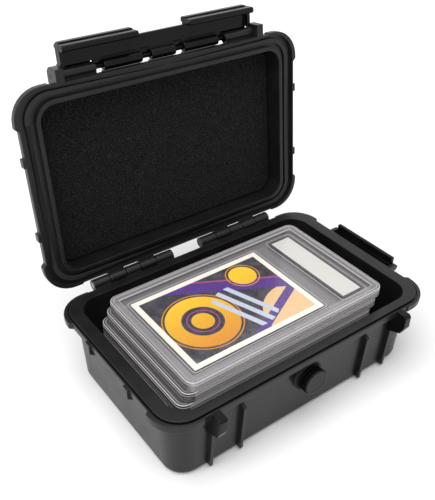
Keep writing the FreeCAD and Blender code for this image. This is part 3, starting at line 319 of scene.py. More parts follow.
def makeLabel():
    # Uncoated label paper: off-white with faint fibres inside a dark printed frame
    material, tree = startMaterial("labelPaper")
    flat = addNode(tree, "ShaderNodeUVMap", uv_map="print").outputs[0]
    axes = addNode(tree, "ShaderNodeSeparateXYZ", {0: flat})
    fibre = addNode(tree, "ShaderNodeTexNoise", speckle(flat, labelLook["fibre"], 6.0))
    share = addNode(tree, "ShaderNodeMapRange", remap(fibre, wideSpan))
    ends = {0: share, 6: linear(labelLook["thread"]), 7: linear(labelLook["paper"])}
    colour = addNode(tree, "ShaderNodeMix", ends, data_type="RGBA")
    colour = addBorder(tree, axes, labelLook, colour)
    closeMaterial(tree, {"Base Color": colour, "Roughness": labelLook["rough"]})
    return material


shellMaterial = makePolymer("mouldedPolypropylene", polymer["shell"])
latchMaterial = makePolymer("glossPolypropylene", polymer["latch"])
rubberMaterial = makeRubber()
foamMaterial = makeFoam()
steelMaterial = makeSteel("drawnSteel", steel["drawn"])
blackSteelMaterial = makeSteel("blackenedSteel", steel["blackened"])
clearMaterial = makeClear()
cardMaterial = makeCard()
labelMaterial = makeLabel()
print("materials made")


def quarter(steps, first=0):
    # Cosine and sine of each step over a quarter turn
    angles = [math.radians(first + 90 * step / steps) for step in range(steps + 1)]
    return [(math.cos(angle), math.sin(angle)) for angle in angles]


def outline(halfX, halfY, corner, bump=(0.0, 0.0), recess=(0.0, 0.0), middle=0.0, steps=8):
    # Rounded rectangle in millimetres; its corners may stand out past the recess in each side
    most, slope, least = 0.98, 0.5, 0.1
    outX, outY = halfX + bump[0], halfY + bump[1]
    longX, longY = outX - corner, outY - corner
    spanY = min(recess[1] / 2 + bump[0], longY * most)
    spanX = min(recess[0] / 2 + bump[1], longX * most)
    backY = max(spanY - max(bump[0], slope), least)
    backX = max(spanX - max(bump[1], slope), least)
    right = ((outX, -spanY), (halfX, -backY), (halfX, backY), (outX, spanY))
    far = ((spanX, outY), (backX, halfY), (-backX, halfY), (-spanX, outY))
    points = []
    for side, x, first in ((right, longX, 0), (far, -longX, 90)):
        points.extend(side)
        for cosine, sine in quarter(steps, first):
            points.append((x + corner * cosine, longY + corner * sine))
    # The other two sides are the same, turned half round
    return [(way * x, way * y + middle) for way in (1, -1) for x, y in points]


def easing(edge):
    # Inset and drop of the steps round an eased edge, from its side to its flat
    middle = 0.3 * edge
    return (0.0, edge), (middle, middle), (edge, 0.0)


def level(points, height, shift=(0.0, 0.0)):
    return [(x + shift[0], y + shift[1], height) for x, y in points]


def stackRings(mesh, rings, tones=None, hoop=False):
    # Skins a pile of equal loops, capped or joined end to end; a tone marks each band and both caps
    layer = None
    if tones:
        layer = mesh.faces.layers.float.get("tone") or mesh.faces.layers.float.new("tone")
    loops = [[mesh.verts.new(point) for point in ring] for ring in rings]
    bands = [] if hoop else [[mesh.faces.new(loops[0][::-1])]]
    for low, high in zip(loops, loops[1:] + (loops[:1] if hoop else [])):
        band = []
        for index in range(len(low)):
            after = (index + 1) % len(low)
            band.append(mesh.faces.new((low[index], low[after], high[after], high[index])))
        bands.append(band)
    if not hoop:
        bands.append([mesh.faces.new(loops[-1])])
    for band, tone in zip(bands, tones or ()):
        for face in band:
            face[layer] = tone


def meshData(name, mesh):
    data = bpy.data.meshes.new(name)
    mesh.to_mesh(data)
    mesh.free()
    return data


def addObject(name, data):
    item = bpy.data.objects.new(name, data)
    bpy.context.scene.collection.objects.link(item)
    return item


def addMesh(mesh, part):
    bmesh.ops.recalc_face_normals(part, faces=part.faces)
    held = meshData("held", part)
    mesh.from_mesh(held)
    bpy.data.meshes.remove(held)


def turned(axis, along, u, v):
    return {"X": (along, u, v), "Y": (u, along, v)}[axis]


def mirrored(sign, *ends):
    # Start and end of a span on the left or right side
    return sorted(sign * end for end in ends)


def prism(mesh, axis, start, end, profile, edge=0.3, sharp=20):
    # Bar of one section along an axis, with every edge eased
    part = bmesh.new()
    stackRings(part, [[turned(axis, along, u, v) for u, v in profile] for along in (start, end)])
    bmesh.ops.recalc_face_normals(part, faces=part.faces)
    edges = [item for item in part.edges if item.calc_face_angle() > math.radians(sharp)]
    bmesh.ops.bevel(part, geom=edges, offset=edge, segments=2, profile=0.5, affect="EDGES")
    addMesh(mesh, part)


def rod(mesh, axis, start, end, centre, radius, edge=0.3, sides=32):
    # Round bar with eased ends
    rings = []
    ends = ((start, radius - edge), (start + edge, radius), (end - edge, radius), (end, radius - edge))
    for along, reach in ends:
        ring = []
        for step in range(sides):
            angle = 2 * math.pi * step / sides
            u = centre[0] + reach * math.cos(angle)
            v = centre[1] + reach * math.sin(angle)
            ring.append(turned(axis, along, u, v))
        rings.append(ring)
    part = bmesh.new()
    stackRings(part, rings)
    addMesh(mesh, part)


def swung(axis, angle):
    # Place of a piece drawn closed about its own axis, once it is swung open
    shift = Matrix.Translation((0, axis[0] * mm, axis[1] * mm))
    return shift @ Matrix.Rotation(math.radians(-angle), 4, "X")


def makePiece(name, mesh, material, body, nodes, place=None, sharp=35, second=None):
    # Turns a millimetre mesh into a finished piece; marked faces may have a second material
    bmesh.ops.recalc_face_normals(mesh, faces=mesh.faces)
    bmesh.ops.scale(mesh, vec=(mm, mm, mm), verts=mesh.verts)
    if place is not None:
        bmesh.ops.transform(mesh, matrix=place, verts=mesh.verts)
    data = meshData(name, mesh)
    data.materials.append(material)
    if second:
        data.materials.append(second)
    data.shade_smooth()
    data.set_sharp_from_angle(angle=math.radians(sharp))
    piece = addObject(name, data)
    # Large faces keep their own direction where they meet an eased edge
    weighted = piece.modifiers.new("weighted", "WEIGHTED_NORMAL")
    weighted.keep_sharp = True
    graph = bpy.context.evaluated_depsgraph_get()
    piece.data = bpy.data.meshes.new_from_object(piece.evaluated_get(graph))
    piece.modifiers.clear()
    bpy.data.meshes.remove(data)
    piece.data.name = name
    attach(piece, body)
    if nodes:
        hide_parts(*nodes)
    return piece


base = {
    "half": (85.4, 52.3), "corner": 12.0, "foot": 4.0, "footSteps": 5, "draft": 3.0,
    "floor": 2.5, "floorEase": 1.0, "root": 1.2, "neck": 45.0, "bite": 0.6,
    "flange": (92.6, 59.2), "flangeLow": 43.5, "flangeFoot": 0.5, "fillet": (0.5, 0.8),
    "flangeTop": ((0.0, 0.45), (0.13, 0.13), (0.45, 0.0)),
    "ledge": 47.7, "rim": 48.7, "bump": (1.9, 0.8), "flangeCorner": 17.5, "recess": (144.0, 78.0),
    "tongue": (91.1, 57.7), "tongueCorner": 15.0, "groove": (0.8, 1.2), "undercut": 1.6, "lip": 0.55,
    "tongueTop": ((0.05, 0.45), (0.0, 0.3), (0.1, 0.08), (0.3, 0.0)),
    "opening": (83.4, 52.2), "openingCorner": 11.6, "openingEase": 0.5,
}
guards = {
    "span": (63.5, 68.3), "front": 66.3, "low": 39.1, "slope": (63.8, 34.1), "foot": 29.7,
    "chamfer": 1.3, "edge": 0.45,
}
endRibs = {"place": 20.0, "half": 2.25, "out": 94.0, "low": 41.2, "foot": 35.7, "edge": 0.4}
barLugs = {"span": (24.4, 27.0), "axis": (98.9, 44.5), "round": 2.0, "steps": 12, "edge": 0.25}
hinge = {
    "axis": (63.2, 47.9), "round": 3.4, "root": (58.7, 43.5, 47.6), "edge": 0.2,
    "spans": ((11.0, 23.1), (34.8, 44.7), (56.4, 67.2)),
}
boss = {
    "height": 30.39, "outer": (-55.3, 9.6), "inner": (-50.4, 8.8), "root": (-50.0, -51.5),
    "outerEdge": 0.4, "innerEdge": 0.3, "sides": 48,
}
lean = math.tan(math.radians(base["draft"]))


def wallFront(height):
    return base["half"][1] + lean * height


def wallEnd(height):
    return base["half"][0] + lean * height


def rimRing(part, key, inset, height, middle=0.0):
    # Loop of the base or lid, inset from one of its sizes; only the flange has corner bumpers
    halfX, halfY = part[key]
    bump = base["bump"] if key == "flange" else (0.0, 0.0)
    corner = part[key + "Corner"] - inset
    points = outline(halfX - inset, halfY - inset, corner, bump, base["recess"], middle)
    return level(points, height)


def makeBaseShell():
    mesh = bmesh.new()
    halfX, halfY = base["half"]
    rings = []

    def wall(inset, height, corner):
        points = outline(halfX - inset, halfY - inset, corner, recess=base["recess"])
        rings.append(level(points, height))

    def rim(*ring):
        rings.append(rimRing(*ring))

    foot, corner = base["foot"], base["corner"]
    for cosine, sine in quarter(base["footSteps"]):
        height, inset = foot - foot * cosine, foot - foot * sine
        wall(inset - lean * height, height, corner - inset)
    # Flange with a small fillet under it
    low, ledge, top = base["flangeLow"], base["ledge"], base["rim"]
    out, drop = base["fillet"]
    wall(-lean * (low - drop), low - drop, corner + lean * low)
    wall(-lean * low - out, low, corner + lean * low + out)
    for inset, rise in reversed(easing(base["flangeFoot"])):
        rim(base, "flange", inset, low + rise)
    for inset, drop in base["flangeTop"]:
        rim(base, "flange", inset, ledge - drop)
    # Groove at the foot of the tongue, then the tongue, which hangs over it
    wide, deep = base["groove"]
    under = base["undercut"]
    for inset, height in ((-wide, ledge), (-wide, ledge - deep), (under, ledge - deep),
                          (under, top - base["lip"])):
        rim(base, "tongue", inset, height)
    for inset, drop in base["tongueTop"]:
        rim(base, "tongue", inset, top - drop)
    for inset, drop in reversed(easing(base["openingEase"])):
        rim(base, "opening", -inset, top - drop)
    floor = base["floor"]
    depth = lean * (top - floor)
    for inset, rise in easing(base["floorEase"]):
        rim(base, "opening", depth + inset, floor + rise)
    stackRings(mesh, rings)
    addFittings(mesh)
    makePiece("caseBase", mesh, shellMaterial, "base", ["base_shell"], second=latchMaterial)


def addFittings(mesh):
    root, neck = base["root"], base["neck"]
    ledge = base["ledge"] - hair
    # The upper part of a guard or rib starts in the flange, clear of the groove
    lipEnd, lipFront = (half - base["bite"] for half in base["flange"])
    for sign in (-1, 1):
        # Latch guard in the glossier latch finish, whose darker colour also paints the shade of the
        # pocket in its end
        front, ease = guards["front"], guards["chamfer"]
        slopeFront, slopeLow = guards["slope"]
        before = set(mesh.faces)
        prism(mesh, "X", *mirrored(sign, *guards["span"]), (
            (-lipFront, ledge), (ease - front, ledge), (-front, ledge - ease),
            (-front, guards["low"]), (-slopeFront, slopeLow),
            (root - wallFront(guards["foot"]), guards["foot"]),
            (root - wallFront(neck), neck), (-lipFront, neck)), guards["edge"])
        for face in set(mesh.faces) - before:
            face.material_index = 1
        # Rib on the left end
        middle, half = endRibs["place"] * sign, endRibs["half"]
        prism(mesh, "Y", middle - half, middle + half, (
            (-lipEnd, ledge), (-endRibs["out"], ledge), (-endRibs["out"], endRibs["low"]),
            (root - wallEnd(endRibs["foot"]), endRibs["foot"]),
            (root - wallEnd(neck), neck), (-lipEnd, neck)), endRibs["edge"])
        # Strap lug on the right end
        x, z = barLugs["axis"]
        reach = barLugs["round"]
        steps = barLugs["steps"]
        arc = [math.pi * step / steps for step in range(steps + 1)]
        curve = [(x + reach * math.sin(angle), z - reach * math.cos(angle)) for angle in arc]
        inner = wallEnd(z) - root
        prism(mesh, "Y", *mirrored(sign, *barLugs["span"]),
              [(inner, z - reach)] + curve + [(inner, z + reach)], barLugs["edge"])
        # Hinge knuckles
        y, z = hinge["axis"]
        reach = hinge["round"]
        near, low, high = hinge["root"]
        for span in hinge["spans"]:
            start, end = mirrored(sign, *span)
            prism(mesh, "X", start + hair, end - hair,
                  ((near, low), (y, z - reach), (y, high), (near, high)), hinge["edge"])
            rod(mesh, "X", start, end, (y, z), reach)
    # Valve boss outside and nut seat inside
    centre = (0, boss["height"])
    outerRoot, innerRoot = boss["root"]
    face, radius = boss["outer"]
    rod(mesh, "Y", face, outerRoot, centre, radius, boss["outerEdge"], boss["sides"])
    face, radius = boss["inner"]
    rod(mesh, "Y", innerRoot, face, centre, radius, boss["innerEdge"], boss["sides"])


makeBaseShell()
print("base modelled")

ribs = {
    "places": (-65.0, -45.0, 45.0, 65.0), "width": 2.0, "foot": 2.0, "top": 37.2,
    "depth": 2.8, "edge": 0.3,
}


def startGroup(name, sockets):
    # Node group that takes geometry, the sockets named and a material, and gives geometry back
    group = bpy.data.node_groups.new(name, "GeometryNodeTree")
    for key, kind in {"Geometry": "Geometry", **sockets, "Material": "Material"}.items():
        group.interface.new_socket(key, in_out="INPUT", socket_type="NodeSocket" + kind)
    group.interface.new_socket("Geometry", in_out="OUTPUT", socket_type="NodeSocketGeometry")
    return group, addNode(group, "NodeGroupInput").outputs


def closeGroup(group, entry, shape):
    # Every group ends in plain geometry with its material
    solid = addNode(group, "GeometryNodeRealizeInstances", {"Geometry": shape})
    painted = addNode(group, "GeometryNodeSetMaterial", {
        "Geometry": solid, "Material": entry["Material"]})
    addNode(group, "NodeGroupOutput", {"Geometry": painted})


def makeCopier():
    # Copies a template at every point of a mesh
    group, entry = startGroup("copyAtPoints", {"Template": "Object"})
    shape = addNode(group, "GeometryNodeObjectInfo", {"Object": entry["Template"]})
    copies = addNode(group, "GeometryNodeInstanceOnPoints", {
        "Points": entry["Geometry"], "Instance": shape.outputs["Geometry"]})
    closeGroup(group, entry, copies)
    return group


def bakeNodes(source, group, settings):
    # Runs a node group on an object and returns the plain mesh that comes out
    modifier = source.modifiers.new("nodes", "NODES")
    modifier.node_group = group
    for item in group.interface.items_tree:
        if item.in_out == "INPUT" and item.name in settings:
            modifier[item.identifier] = settings[item.name]
    bpy.context.view_layer.update()
    graph = bpy.context.evaluated_depsgraph_get()
    data = bpy.data.meshes.new_from_object(source.evaluated_get(graph))
    bpy.data.objects.remove(source)
    mesh = bmesh.new()
    mesh.from_mesh(data)
    bpy.data.meshes.remove(data)
    return mesh


def makeRibs():
    mesh = bmesh.new()
    half, root = ribs["width"] / 2, base["root"]
    low, high, depth = ribs["foot"], ribs["top"], ribs["depth"]
    prism(mesh, "X", -half, half, (
        (root - wallFront(low), low), (-wallFront(low) - depth, low),
        (-wallFront(high) - depth, high - depth), (root - wallFront(high), high)), ribs["edge"])
    template = addObject("ribTemplate", meshData("ribTemplate", mesh))
    points = bmesh.new()
    for x in ribs["places"]:
        points.verts.new((x, 0, 0))
    settings = {"Template": template, "Material": shellMaterial}
    spots = addObject("ribPoints", meshData("ribPoints", points))
    mesh = bakeNodes(spots, makeCopier(), settings)
    bpy.data.objects.remove(template)
    makePiece("frontRibs", mesh, shellMaterial, "base", [])


makeRibs()
print("ribs copied")

# Drawn closed about the hinge axis, then swung open
lid = {
    "open": 96.6, "middle": -63.2, "tray": (83.1, 51.9), "trayCorner": 12.0, "trayEase": 0.5,
    "trayFillet": (0.4, 0.6), "round": 5.0, "roundSteps": 6, "depth": 18.2,
    "flange": 4.4, "flangeEase": 0.6, "channel": (91.5, 58.1), "channelCorner": 15.4,
    "channelDepth": 2.6, "channelEase": ((0.3, 0.0), (0.05, 0.1), (0.0, 0.35)),
    "hollow": (80.5, 49.3), "hollowCorner": 9.4, "hollowEase": 0.5, "front": -122.4, "back": -116.4,
    "roof": 15.8, "roofEase": ((0.0, 0.8), (0.25, 0.25), (0.8, 0.0)),
    "ribs": (91.8, 94.0), "ribPlace": 22.0, "ribHalf": 2.5, "ribEdge": 0.4,
    "guardFront": -129.5, "guardTop": 11.4, "guardSlope": 2.5, "guardBack": -120.4,
    "pin": (-124.8, 7.0), "pinLug": (43.0, 63.6), "pinRound": 3.0, "lugFoot": 0.2, "lugEdge": 0.25,
    "web": (-121.45, 10.0), "webs": ((-38.0, -14.0), (-8.0, 8.0), (14.0, 38.0)),
    "leaves": ((23.6, 34.3), (45.2, 55.9)), "leafRoot": -4.7, "leafLow": 0.1,
}
lidPlace = swung(hinge["axis"], lid["open"])


def makeLidShell():
    mesh = bmesh.new()
    rings = []

    def rim(*ring):
        rings.append(rimRing(*ring, middle=lid["middle"]))

    # Outside of the tray, down to a small fillet on the flange
    swell = lid["round"]
    for cosine, sine in quarter(lid["roundSteps"]):
        height = lid["depth"] - swell + swell * cosine
        rim(lid, "tray", swell - swell * sine, height)
    top = lid["flange"]
    out, rise = lid["trayFillet"]
    rim(lid, "tray", 0.0, top + rise)
    rim(lid, "tray", -out, top)
    for inset, drop in reversed(easing(lid["flangeEase"])):
        rim(base, "flange", inset, top - drop)
    for inset, rise in easing(lid["flangeEase"]):
        rim(base, "flange", inset, rise)
    # Channel for the seal, between the flange and the wall of the tray
    for inset, rise in lid["channelEase"]:
        rim(lid, "channel", -inset, rise)
    rim(lid, "channel", 0.0, lid["channelDepth"])
    rim(lid, "tray", 0.0, lid["channelDepth"])
    for inset, rise in easing(lid["trayEase"]):
        rim(lid, "tray", inset, rise)
    # Hollow of the tray
    for inset, rise in reversed(easing(lid["hollowEase"])):
        rim(lid, "hollow", -inset, rise)
    for inset, drop in lid["roofEase"]:
        rim(lid, "hollow", inset, lid["roof"] - drop)
    stackRings(mesh, rings)
    addLidFittings(mesh)
    makePiece("caseLid", mesh, shellMaterial, "lid", ["lid_shell"], lidPlace)


def addLidFittings(mesh):
    top = lid["flange"]
    front, back, under = lid["front"], lid["back"], top - base["root"]
    pinY, pinZ = lid["pin"]
    reach = lid["pinRound"]
    webNear, webTop = lid["web"]
    for sign in (-1, 1):
        # Ribs on the end
        for way in (-1, 1):
            low = lid["middle"] + lid["ribPlace"] * way - lid["ribHalf"]
            high = low + 2 * lid["ribHalf"]
            prism(mesh, "X", *mirrored(sign, *lid["ribs"]),
                  ((low, 0), (high, 0), (high, top), (low, top)), lid["ribEdge"])
        # Latch guard
        edge, rise, slope = lid["guardFront"], lid["guardTop"], lid["guardSlope"]
        root = front + base["bite"]
        prism(mesh, "X", *mirrored(sign, *guards["span"]), (
            (root, 0), (edge, 0), (edge, rise - slope), (edge + slope, rise),
            (lid["guardBack"], rise), (back, top), (back, under), (root, under)), guards["edge"])
        # Lug for the latch pin
        start, end = mirrored(sign, *lid["pinLug"])
        prism(mesh, "X", start, end, (
            (back, under), (front + lid["lugFoot"], under), (front, top), (pinY, pinZ - reach),
            (pinY, pinZ + reach), (back, top)), lid["lugEdge"])
        rod(mesh, "X", start, end, (pinY, pinZ), reach)
        # Hinge leaves
        for span in lid["leaves"]:
            start, end = mirrored(sign, *span)
            near, low, high = lid["leafRoot"], lid["leafLow"], hinge["round"]
            prism(mesh, "X", start + hair, end - hair,
                  ((near, low), (0, low), (0, high), (near, high)), hinge["edge"])
            rod(mesh, "X", start, end, (0, 0), hinge["round"])
    # Webs behind the latch barrel
    for span in lid["webs"]:
        prism(mesh, "X", *span, (
            (back, under), (webNear, under), (webNear, webTop), (back, top)), lid["lugEdge"])


makeLidShell()
print("lid modelled")

seal = {
    "path": (87.3, 55.0), "corner": 13.7, "middle": 1.85, "width": 3.1, "thick": 1.5, "round": 0.5,
    "sharp": 60,
}


def makeSweeper():
    # Sweeps an eased flat section along a closed line
    sockets = {"Width": "Float", "Thickness": "Float", "Rounding": "Float"}
    group, entry = startGroup("sweepSeal", sockets)
    line = addNode(group, "GeometryNodeMeshToCurve", {"Mesh": entry["Geometry"]})
    upright = addNode(group, "GeometryNodeSetCurveNormal", {"Curve": line}, mode="Z_UP")
    section = addNode(group, "GeometryNodeCurvePrimitiveQuadrilateral", {
        "Width": entry["Width"], "Height": entry["Thickness"]})
    eased = addNode(group, "GeometryNodeFilletCurve", {
        "Curve": section, "Radius": entry["Rounding"], "Count": 3}, mode="POLY")
    swept = addNode(group, "GeometryNodeCurveToMesh", {"Curve": upright, "Profile Curve": eased})
    closeGroup(group, entry, swept)
    return group


def makeSeal():
    line = bmesh.new()
    points = outline(*seal["path"], seal["corner"], middle=lid["middle"], steps=12)
    corners = [line.verts.new((x, y, seal["middle"])) for x, y in points]
    for first, second in zip(corners, corners[1:] + corners[:1]):
        line.edges.new((first, second))
    settings = {"Width": seal["width"], "Thickness": seal["thick"], "Rounding": seal["round"],
                "Material": rubberMaterial}
    path = addObject("sealLine", meshData("sealLine", line))
    mesh = bakeNodes(path, makeSweeper(), settings)
    makePiece("lidSeal", mesh, rubberMaterial, "lid", ["lid_gasket"], lidPlace,
              seal["sharp"])


makeSeal()
print("seal swept")

foam = {
    "half": (80.2, 49.0), "corner": 9.1, "cornerLeast": 0.6, "face": 11.4, "back": 15.8,
    "edge": 1.2, "edgeSteps": 4, "backEdge": (0.3, 0.4), "rings": 26,
    "uneven": 0.12, "swell": 0.07, "dent": 0.3, "dentShare": 0.5, "draws": (3.1, 8.7),
    "fill": 0.9, "sharp": 60,
}


def makeFoamSheet():
    mesh = bmesh.new()
    halfX, halfY = foam["half"]
    face, edge = foam["face"], foam["edge"]
    rings = []

    def ring(inset, height):
        corner = max(foam["corner"] - inset, foam["cornerLeast"])
        points = outline(halfX - inset, halfY - inset, corner, middle=lid["middle"], steps=6)
        rings.append(level(points, height))

    inset, drop = foam["backEdge"]
    ring(inset, foam["back"])
    ring(0.0, foam["back"] - drop)
    for cosine, sine in quarter(foam["edgeSteps"]):
        ring(edge * (1 - cosine), face + edge * (1 - sine))
    flat = len(rings)
    for step in range(1, foam["rings"]):
        ring(edge + (halfY - 2 * edge) * step / foam["rings"], face)
    # Slow swells and small dents over the cut face
    swell, dent = foam["swell"], foam["dent"]
    first, second = foam["draws"]
    for row in rings[flat:]:
        for index, (x, y, height) in enumerate(row):
            wave = noise.noise(Vector((x * swell, y * swell, first)))
            wave += foam["dentShare"] * noise.noise(Vector((x * dent, y * dent, second)))
            row[index] = (x, y, height + foam["uneven"] * (1 + max(-1.0, min(1.0, wave))))
    stackRings(mesh, rings)
    piece = makePiece("lidFoam", mesh, foamMaterial, "lid", ["lid_foam"], lidPlace,
                      foam["sharp"])


makeFoamSheet()
print("foam laid")

# Drawn closed about its pin, then swung open
latch = {
    "pivot": (84.498, 171.068), "turn": 186.6, "half": 62.4, "notch": 16.5, "outer": -3.0,
    "inner": -0.6, "start": -3.5, "lip": -16.0, "corner": 2.6, "notchCorner": 1.2, "cornerSteps": 6,
    "hook": -11.9, "hookFoot": -15.3, "hookIn": 5.8, "hookEase": 0.9, "hookGap": 0.2,
    "hookRoot": 0.6, "bead": 1.2, "beadHigh": 2.9, "beadRoot": 0.5, "beadEdge": 0.45,
    "cheek": 2.2, "cheekIn": 1.9, "barrel": 3.0, "apron": (43.0, -3.35, -4.75),
    "apronEase": (0.5, 0.8, 0.9), "neck": -4.7, "windows": ((7.9, 14.1), (37.9, 42.7)),
    "spans": lid["webs"], "bridge": (-1.75, -1.65),
    "lap": 1.0, "nudge": 0.03, "midEdge": 0.35, "edge": 0.3, "neckEdge": 0.25, "bridgeEdge": 0.2,
}
latchPlace = swung(latch["pivot"], latch["turn"])


def plateCorners(sign):
    # Rounded free corners of a side plate, from its end to the notch
    points = []
    ends = ((latch["half"], -latch["corner"], 0), (latch["notch"], latch["notchCorner"], 90))
    for x, reach, first in ends:
        for cosine, sine in quarter(latch["cornerSteps"], first):
            across = x + reach * (1 - abs(cosine))
            points.append((sign * across, latch["lip"] + abs(reach) * (1 - sine)))
    return points


def makeLatch():
    mesh = bmesh.new()
    outer, inner, start, neck = (latch[key] for key in ("outer", "inner", "start", "neck"))
    hook, foot, hookIn, ease = (latch[key] for key in ("hook", "hookFoot", "hookIn", "hookEase"))
    half, notch, nudge, edge = (latch[key] for key in ("half", "notch", "nudge", "edge"))
    apronStart, apronIn, apronOut = latch["apron"]
    apronFlat, apronFoot, apronHead = latch["apronEase"]
    bridgeBack, bridge = latch["bridge"]
    near, far, root = outer + nudge, inner - nudge, inner - latch["hookRoot"]
    reach = notch + latch["lap"]
    prism(mesh, "X", -reach, reach, (
        (near, start), (far, start), (far, hook), (near, hook)), latch["midEdge"])
    for sign in (-1, 1):
        # Side plate, and the finger bead on its outer face
        corners = plateCorners(sign)
        plate = [(sign * notch, start), (sign * half, start)]
        prism(mesh, "Y", outer, inner, plate + corners, edge)
        beadTop = latch["lip"] + latch["beadHigh"]
        strip = [(sign * notch, beadTop), (sign * half, beadTop)]
        beadRoot = outer + latch["beadRoot"]
        prism(mesh, "Y", outer - latch["bead"], beadRoot, strip + corners, latch["beadEdge"])
        # Hook across the side plate
        gap = latch["hookGap"]
        prism(mesh, "X", *mirrored(sign, notch + gap, half - gap), (
            (root, hook), (hookIn - ease, hook), (hookIn, hook - ease), (hookIn, foot + ease),
            (hookIn - ease, foot), (root, foot)), edge)
        # End wall and the apron over the lid lug
        cheekIn = latch["cheekIn"]
        prism(mesh, "X", *mirrored(sign, half - latch["cheek"], half - nudge), (
            (near, start - nudge), (cheekIn, start - nudge),
            (cheekIn, foot + nudge), (near, foot + nudge)), edge)
        prism(mesh, "X", *mirrored(sign, apronStart, half - 2 * nudge), (
            (apronOut + apronFlat, -nudge), (apronIn, -nudge), (apronIn, start), (far - nudge, start),
            (far - nudge, neck), (apronOut + apronFlat, neck), (apronOut, neck + apronFoot),
            (apronOut, -apronHead)), latch["neckEdge"])
        # Bridges over the windows in the barrel
        for span in latch["windows"]:
            prism(mesh, "X", *mirrored(sign, *span), (
                (near, 0), (bridgeBack, 0), (bridgeBack, bridge), (far, bridge),
                (far, neck), (near, neck)), latch["bridgeEdge"])
    for low, high in latch["spans"]:
        prism(mesh, "X", low + hair, high - hair, (
            (outer, 0), (inner, 0), (inner, neck), (outer, neck)), latch["neckEdge"])
        rod(mesh, "X", low, high, (0, 0), latch["barrel"])
    makePiece("swingLatch", mesh, latchMaterial, "latch", ["latch"], latchPlace)


makeLatch()
print("latch modelled")

strap = {"half": 24.0, "barrel": 2.0, "thick": 2.6, "rise": 6.0, "edge": 0.5}


def makeStrapBar():
    mesh = bmesh.new()
    x, z = barLugs["axis"]
    reach, half, high = strap["thick"] / 2, strap["half"], z + strap["rise"]
    rod(mesh, "Y", -half, half, (x, z), strap["barrel"])
    prism(mesh, "Y", hair - half, half - hair,
          ((x - reach, z), (x + reach, z), (x + reach, high), (x - reach, high)), strap["edge"])
    makePiece("strapBar", mesh, latchMaterial, "strap_bar", ["strap_bar"])


knob = {
    "back": -58.3, "face": -62.3, "radius": 7.9, "grips": 24, "gripSides": 8, "groove": 0.55,
    "backEdge": 0.5, "faceEdge": ((0.0, 0.6), (0.2, 0.2), (0.6, 0.0)),
    "ring": 1.6, "dishRing": 2.2, "dish": 0.25, "sharp": 40,
}


def makeKnob():
    # Grip edge from a radius that swells between grooves, and a shallow dish in the face
    mesh = bmesh.new()
    sides = knob["grips"] * knob["gripSides"]
    back, face, edge = knob["back"], knob["face"], knob["backEdge"]
    steps = [(edge, back, True), (0.0, back - edge, True)]
    steps += [(inset, face + drop, True) for inset, drop in knob["faceEdge"]]
    steps += [(knob["ring"], face, False), (knob["dishRing"], face + knob["dish"], False)]
    rings = []
    for inset, y, gripped in steps:
        ring = []
        for step in range(sides):
            angle = 2 * math.pi * step / sides
            grip = 0.5 + 0.5 * math.cos(angle * knob["grips"])
            reach = knob["radius"] - inset - (knob["groove"] * grip ** 2 if gripped else 0)
            ring.append((reach * math.cos(angle), y, boss["height"] + reach * math.sin(angle)))
        rings.append(ring)
    stackRings(mesh, rings)
    makePiece("valveKnob", mesh, latchMaterial, "valve_knob", ["valve_knob"],
              sharp=knob["sharp"])


makeStrapBar()
makeKnob()
print("strap bar and knob modelled")

# A band is an inset, a rise or drop, and the tone of the strip that leads up to it; tones near 1 paint
# highlights along edges, and tones towards 2 paint shade in grooves and seams
slabs = {
    "count": 9, "half": (68.25, 41.2), "corner": 5.5, "cornerLeast": 0.8, "thick": 6.2, "joint": 3.1,
    "middle": (-4.2, -5.7), "second": 2.5, "rest": 5.8, "edge": 0.6, "seam": 0.25, "gap": 0.02,
    "card": (-13.7, 0.8), "cardCorner": 0.5, "cardTop": 2.9, "cardThick": 0.4,
    "label": (52.5, 0.8), "labelCorner": 1.0, "labelThick": 0.3,
    "wellGap": 1.3, "wellWidth": 0.45, "wellRise": (-0.3, 0.1), "wellHighlightTone": 0.85,
    # Painted light: the seam tone is painted shade, the side tone is a haze made paler to stand in for
    # the light on the sides, and the end shade is painted shade on the ends and lower ledges
    "windowTone": 0.0, "seamShadeTone": 1.9, "sideTone": 0.84, "endShade": 1.88, "shaded": (0.25, 0.86),
    "endFrom": 0.45, "ledge": 7.0, "footTones": (0.55, 0.35, 0.6),
    "backBands": ((0.0, 1.4, 0.84), (0.3, 1.5, 1.7), (0.3, 1.9, 1.6), (0.0, 2.0, 1.0)),
    "frontBands": (
        (0.0, 1.7, 0.84), (0.25, 1.6, 1.0), (0.25, 1.1, 1.7), (0.0, 1.0, 0.8), (0.0, 0.6, 0.84),
        (0.18, 0.18, 0.7), (0.6, 0.0, 0.95), (1.6, 0.0, 0.4), (2.0, 0.12, 1.35), (2.5, 0.12, 0.65),
        (4.7, 0.12, 0.42), (5.0, 0.25, 0.75), (5.15, 0.4, 1.2), (5.6, 0.5, 0.3),
    ),
}


def makePrint(key, number, centre, size, low, high, material):
    # Thin sheet with its print laid out in millimetres from its middle
    mesh = bmesh.new()
    points = outline(size[0] / 2, size[1] / 2, slabs[key + "Corner"], steps=5)
    stackRings(mesh, [level(points, height, centre) for height in (low, high)])
    layer = mesh.loops.layers.uv.new("print")
    for face in mesh.faces:
        for loop in face.loops:
            loop[layer].uv = (loop.vert.co.x - centre[0], loop.vert.co.y - centre[1])
    node = "slab_%d_%s" % (number, key)
    makePiece("%s%d" % (key, number), mesh, material, "base", [node])


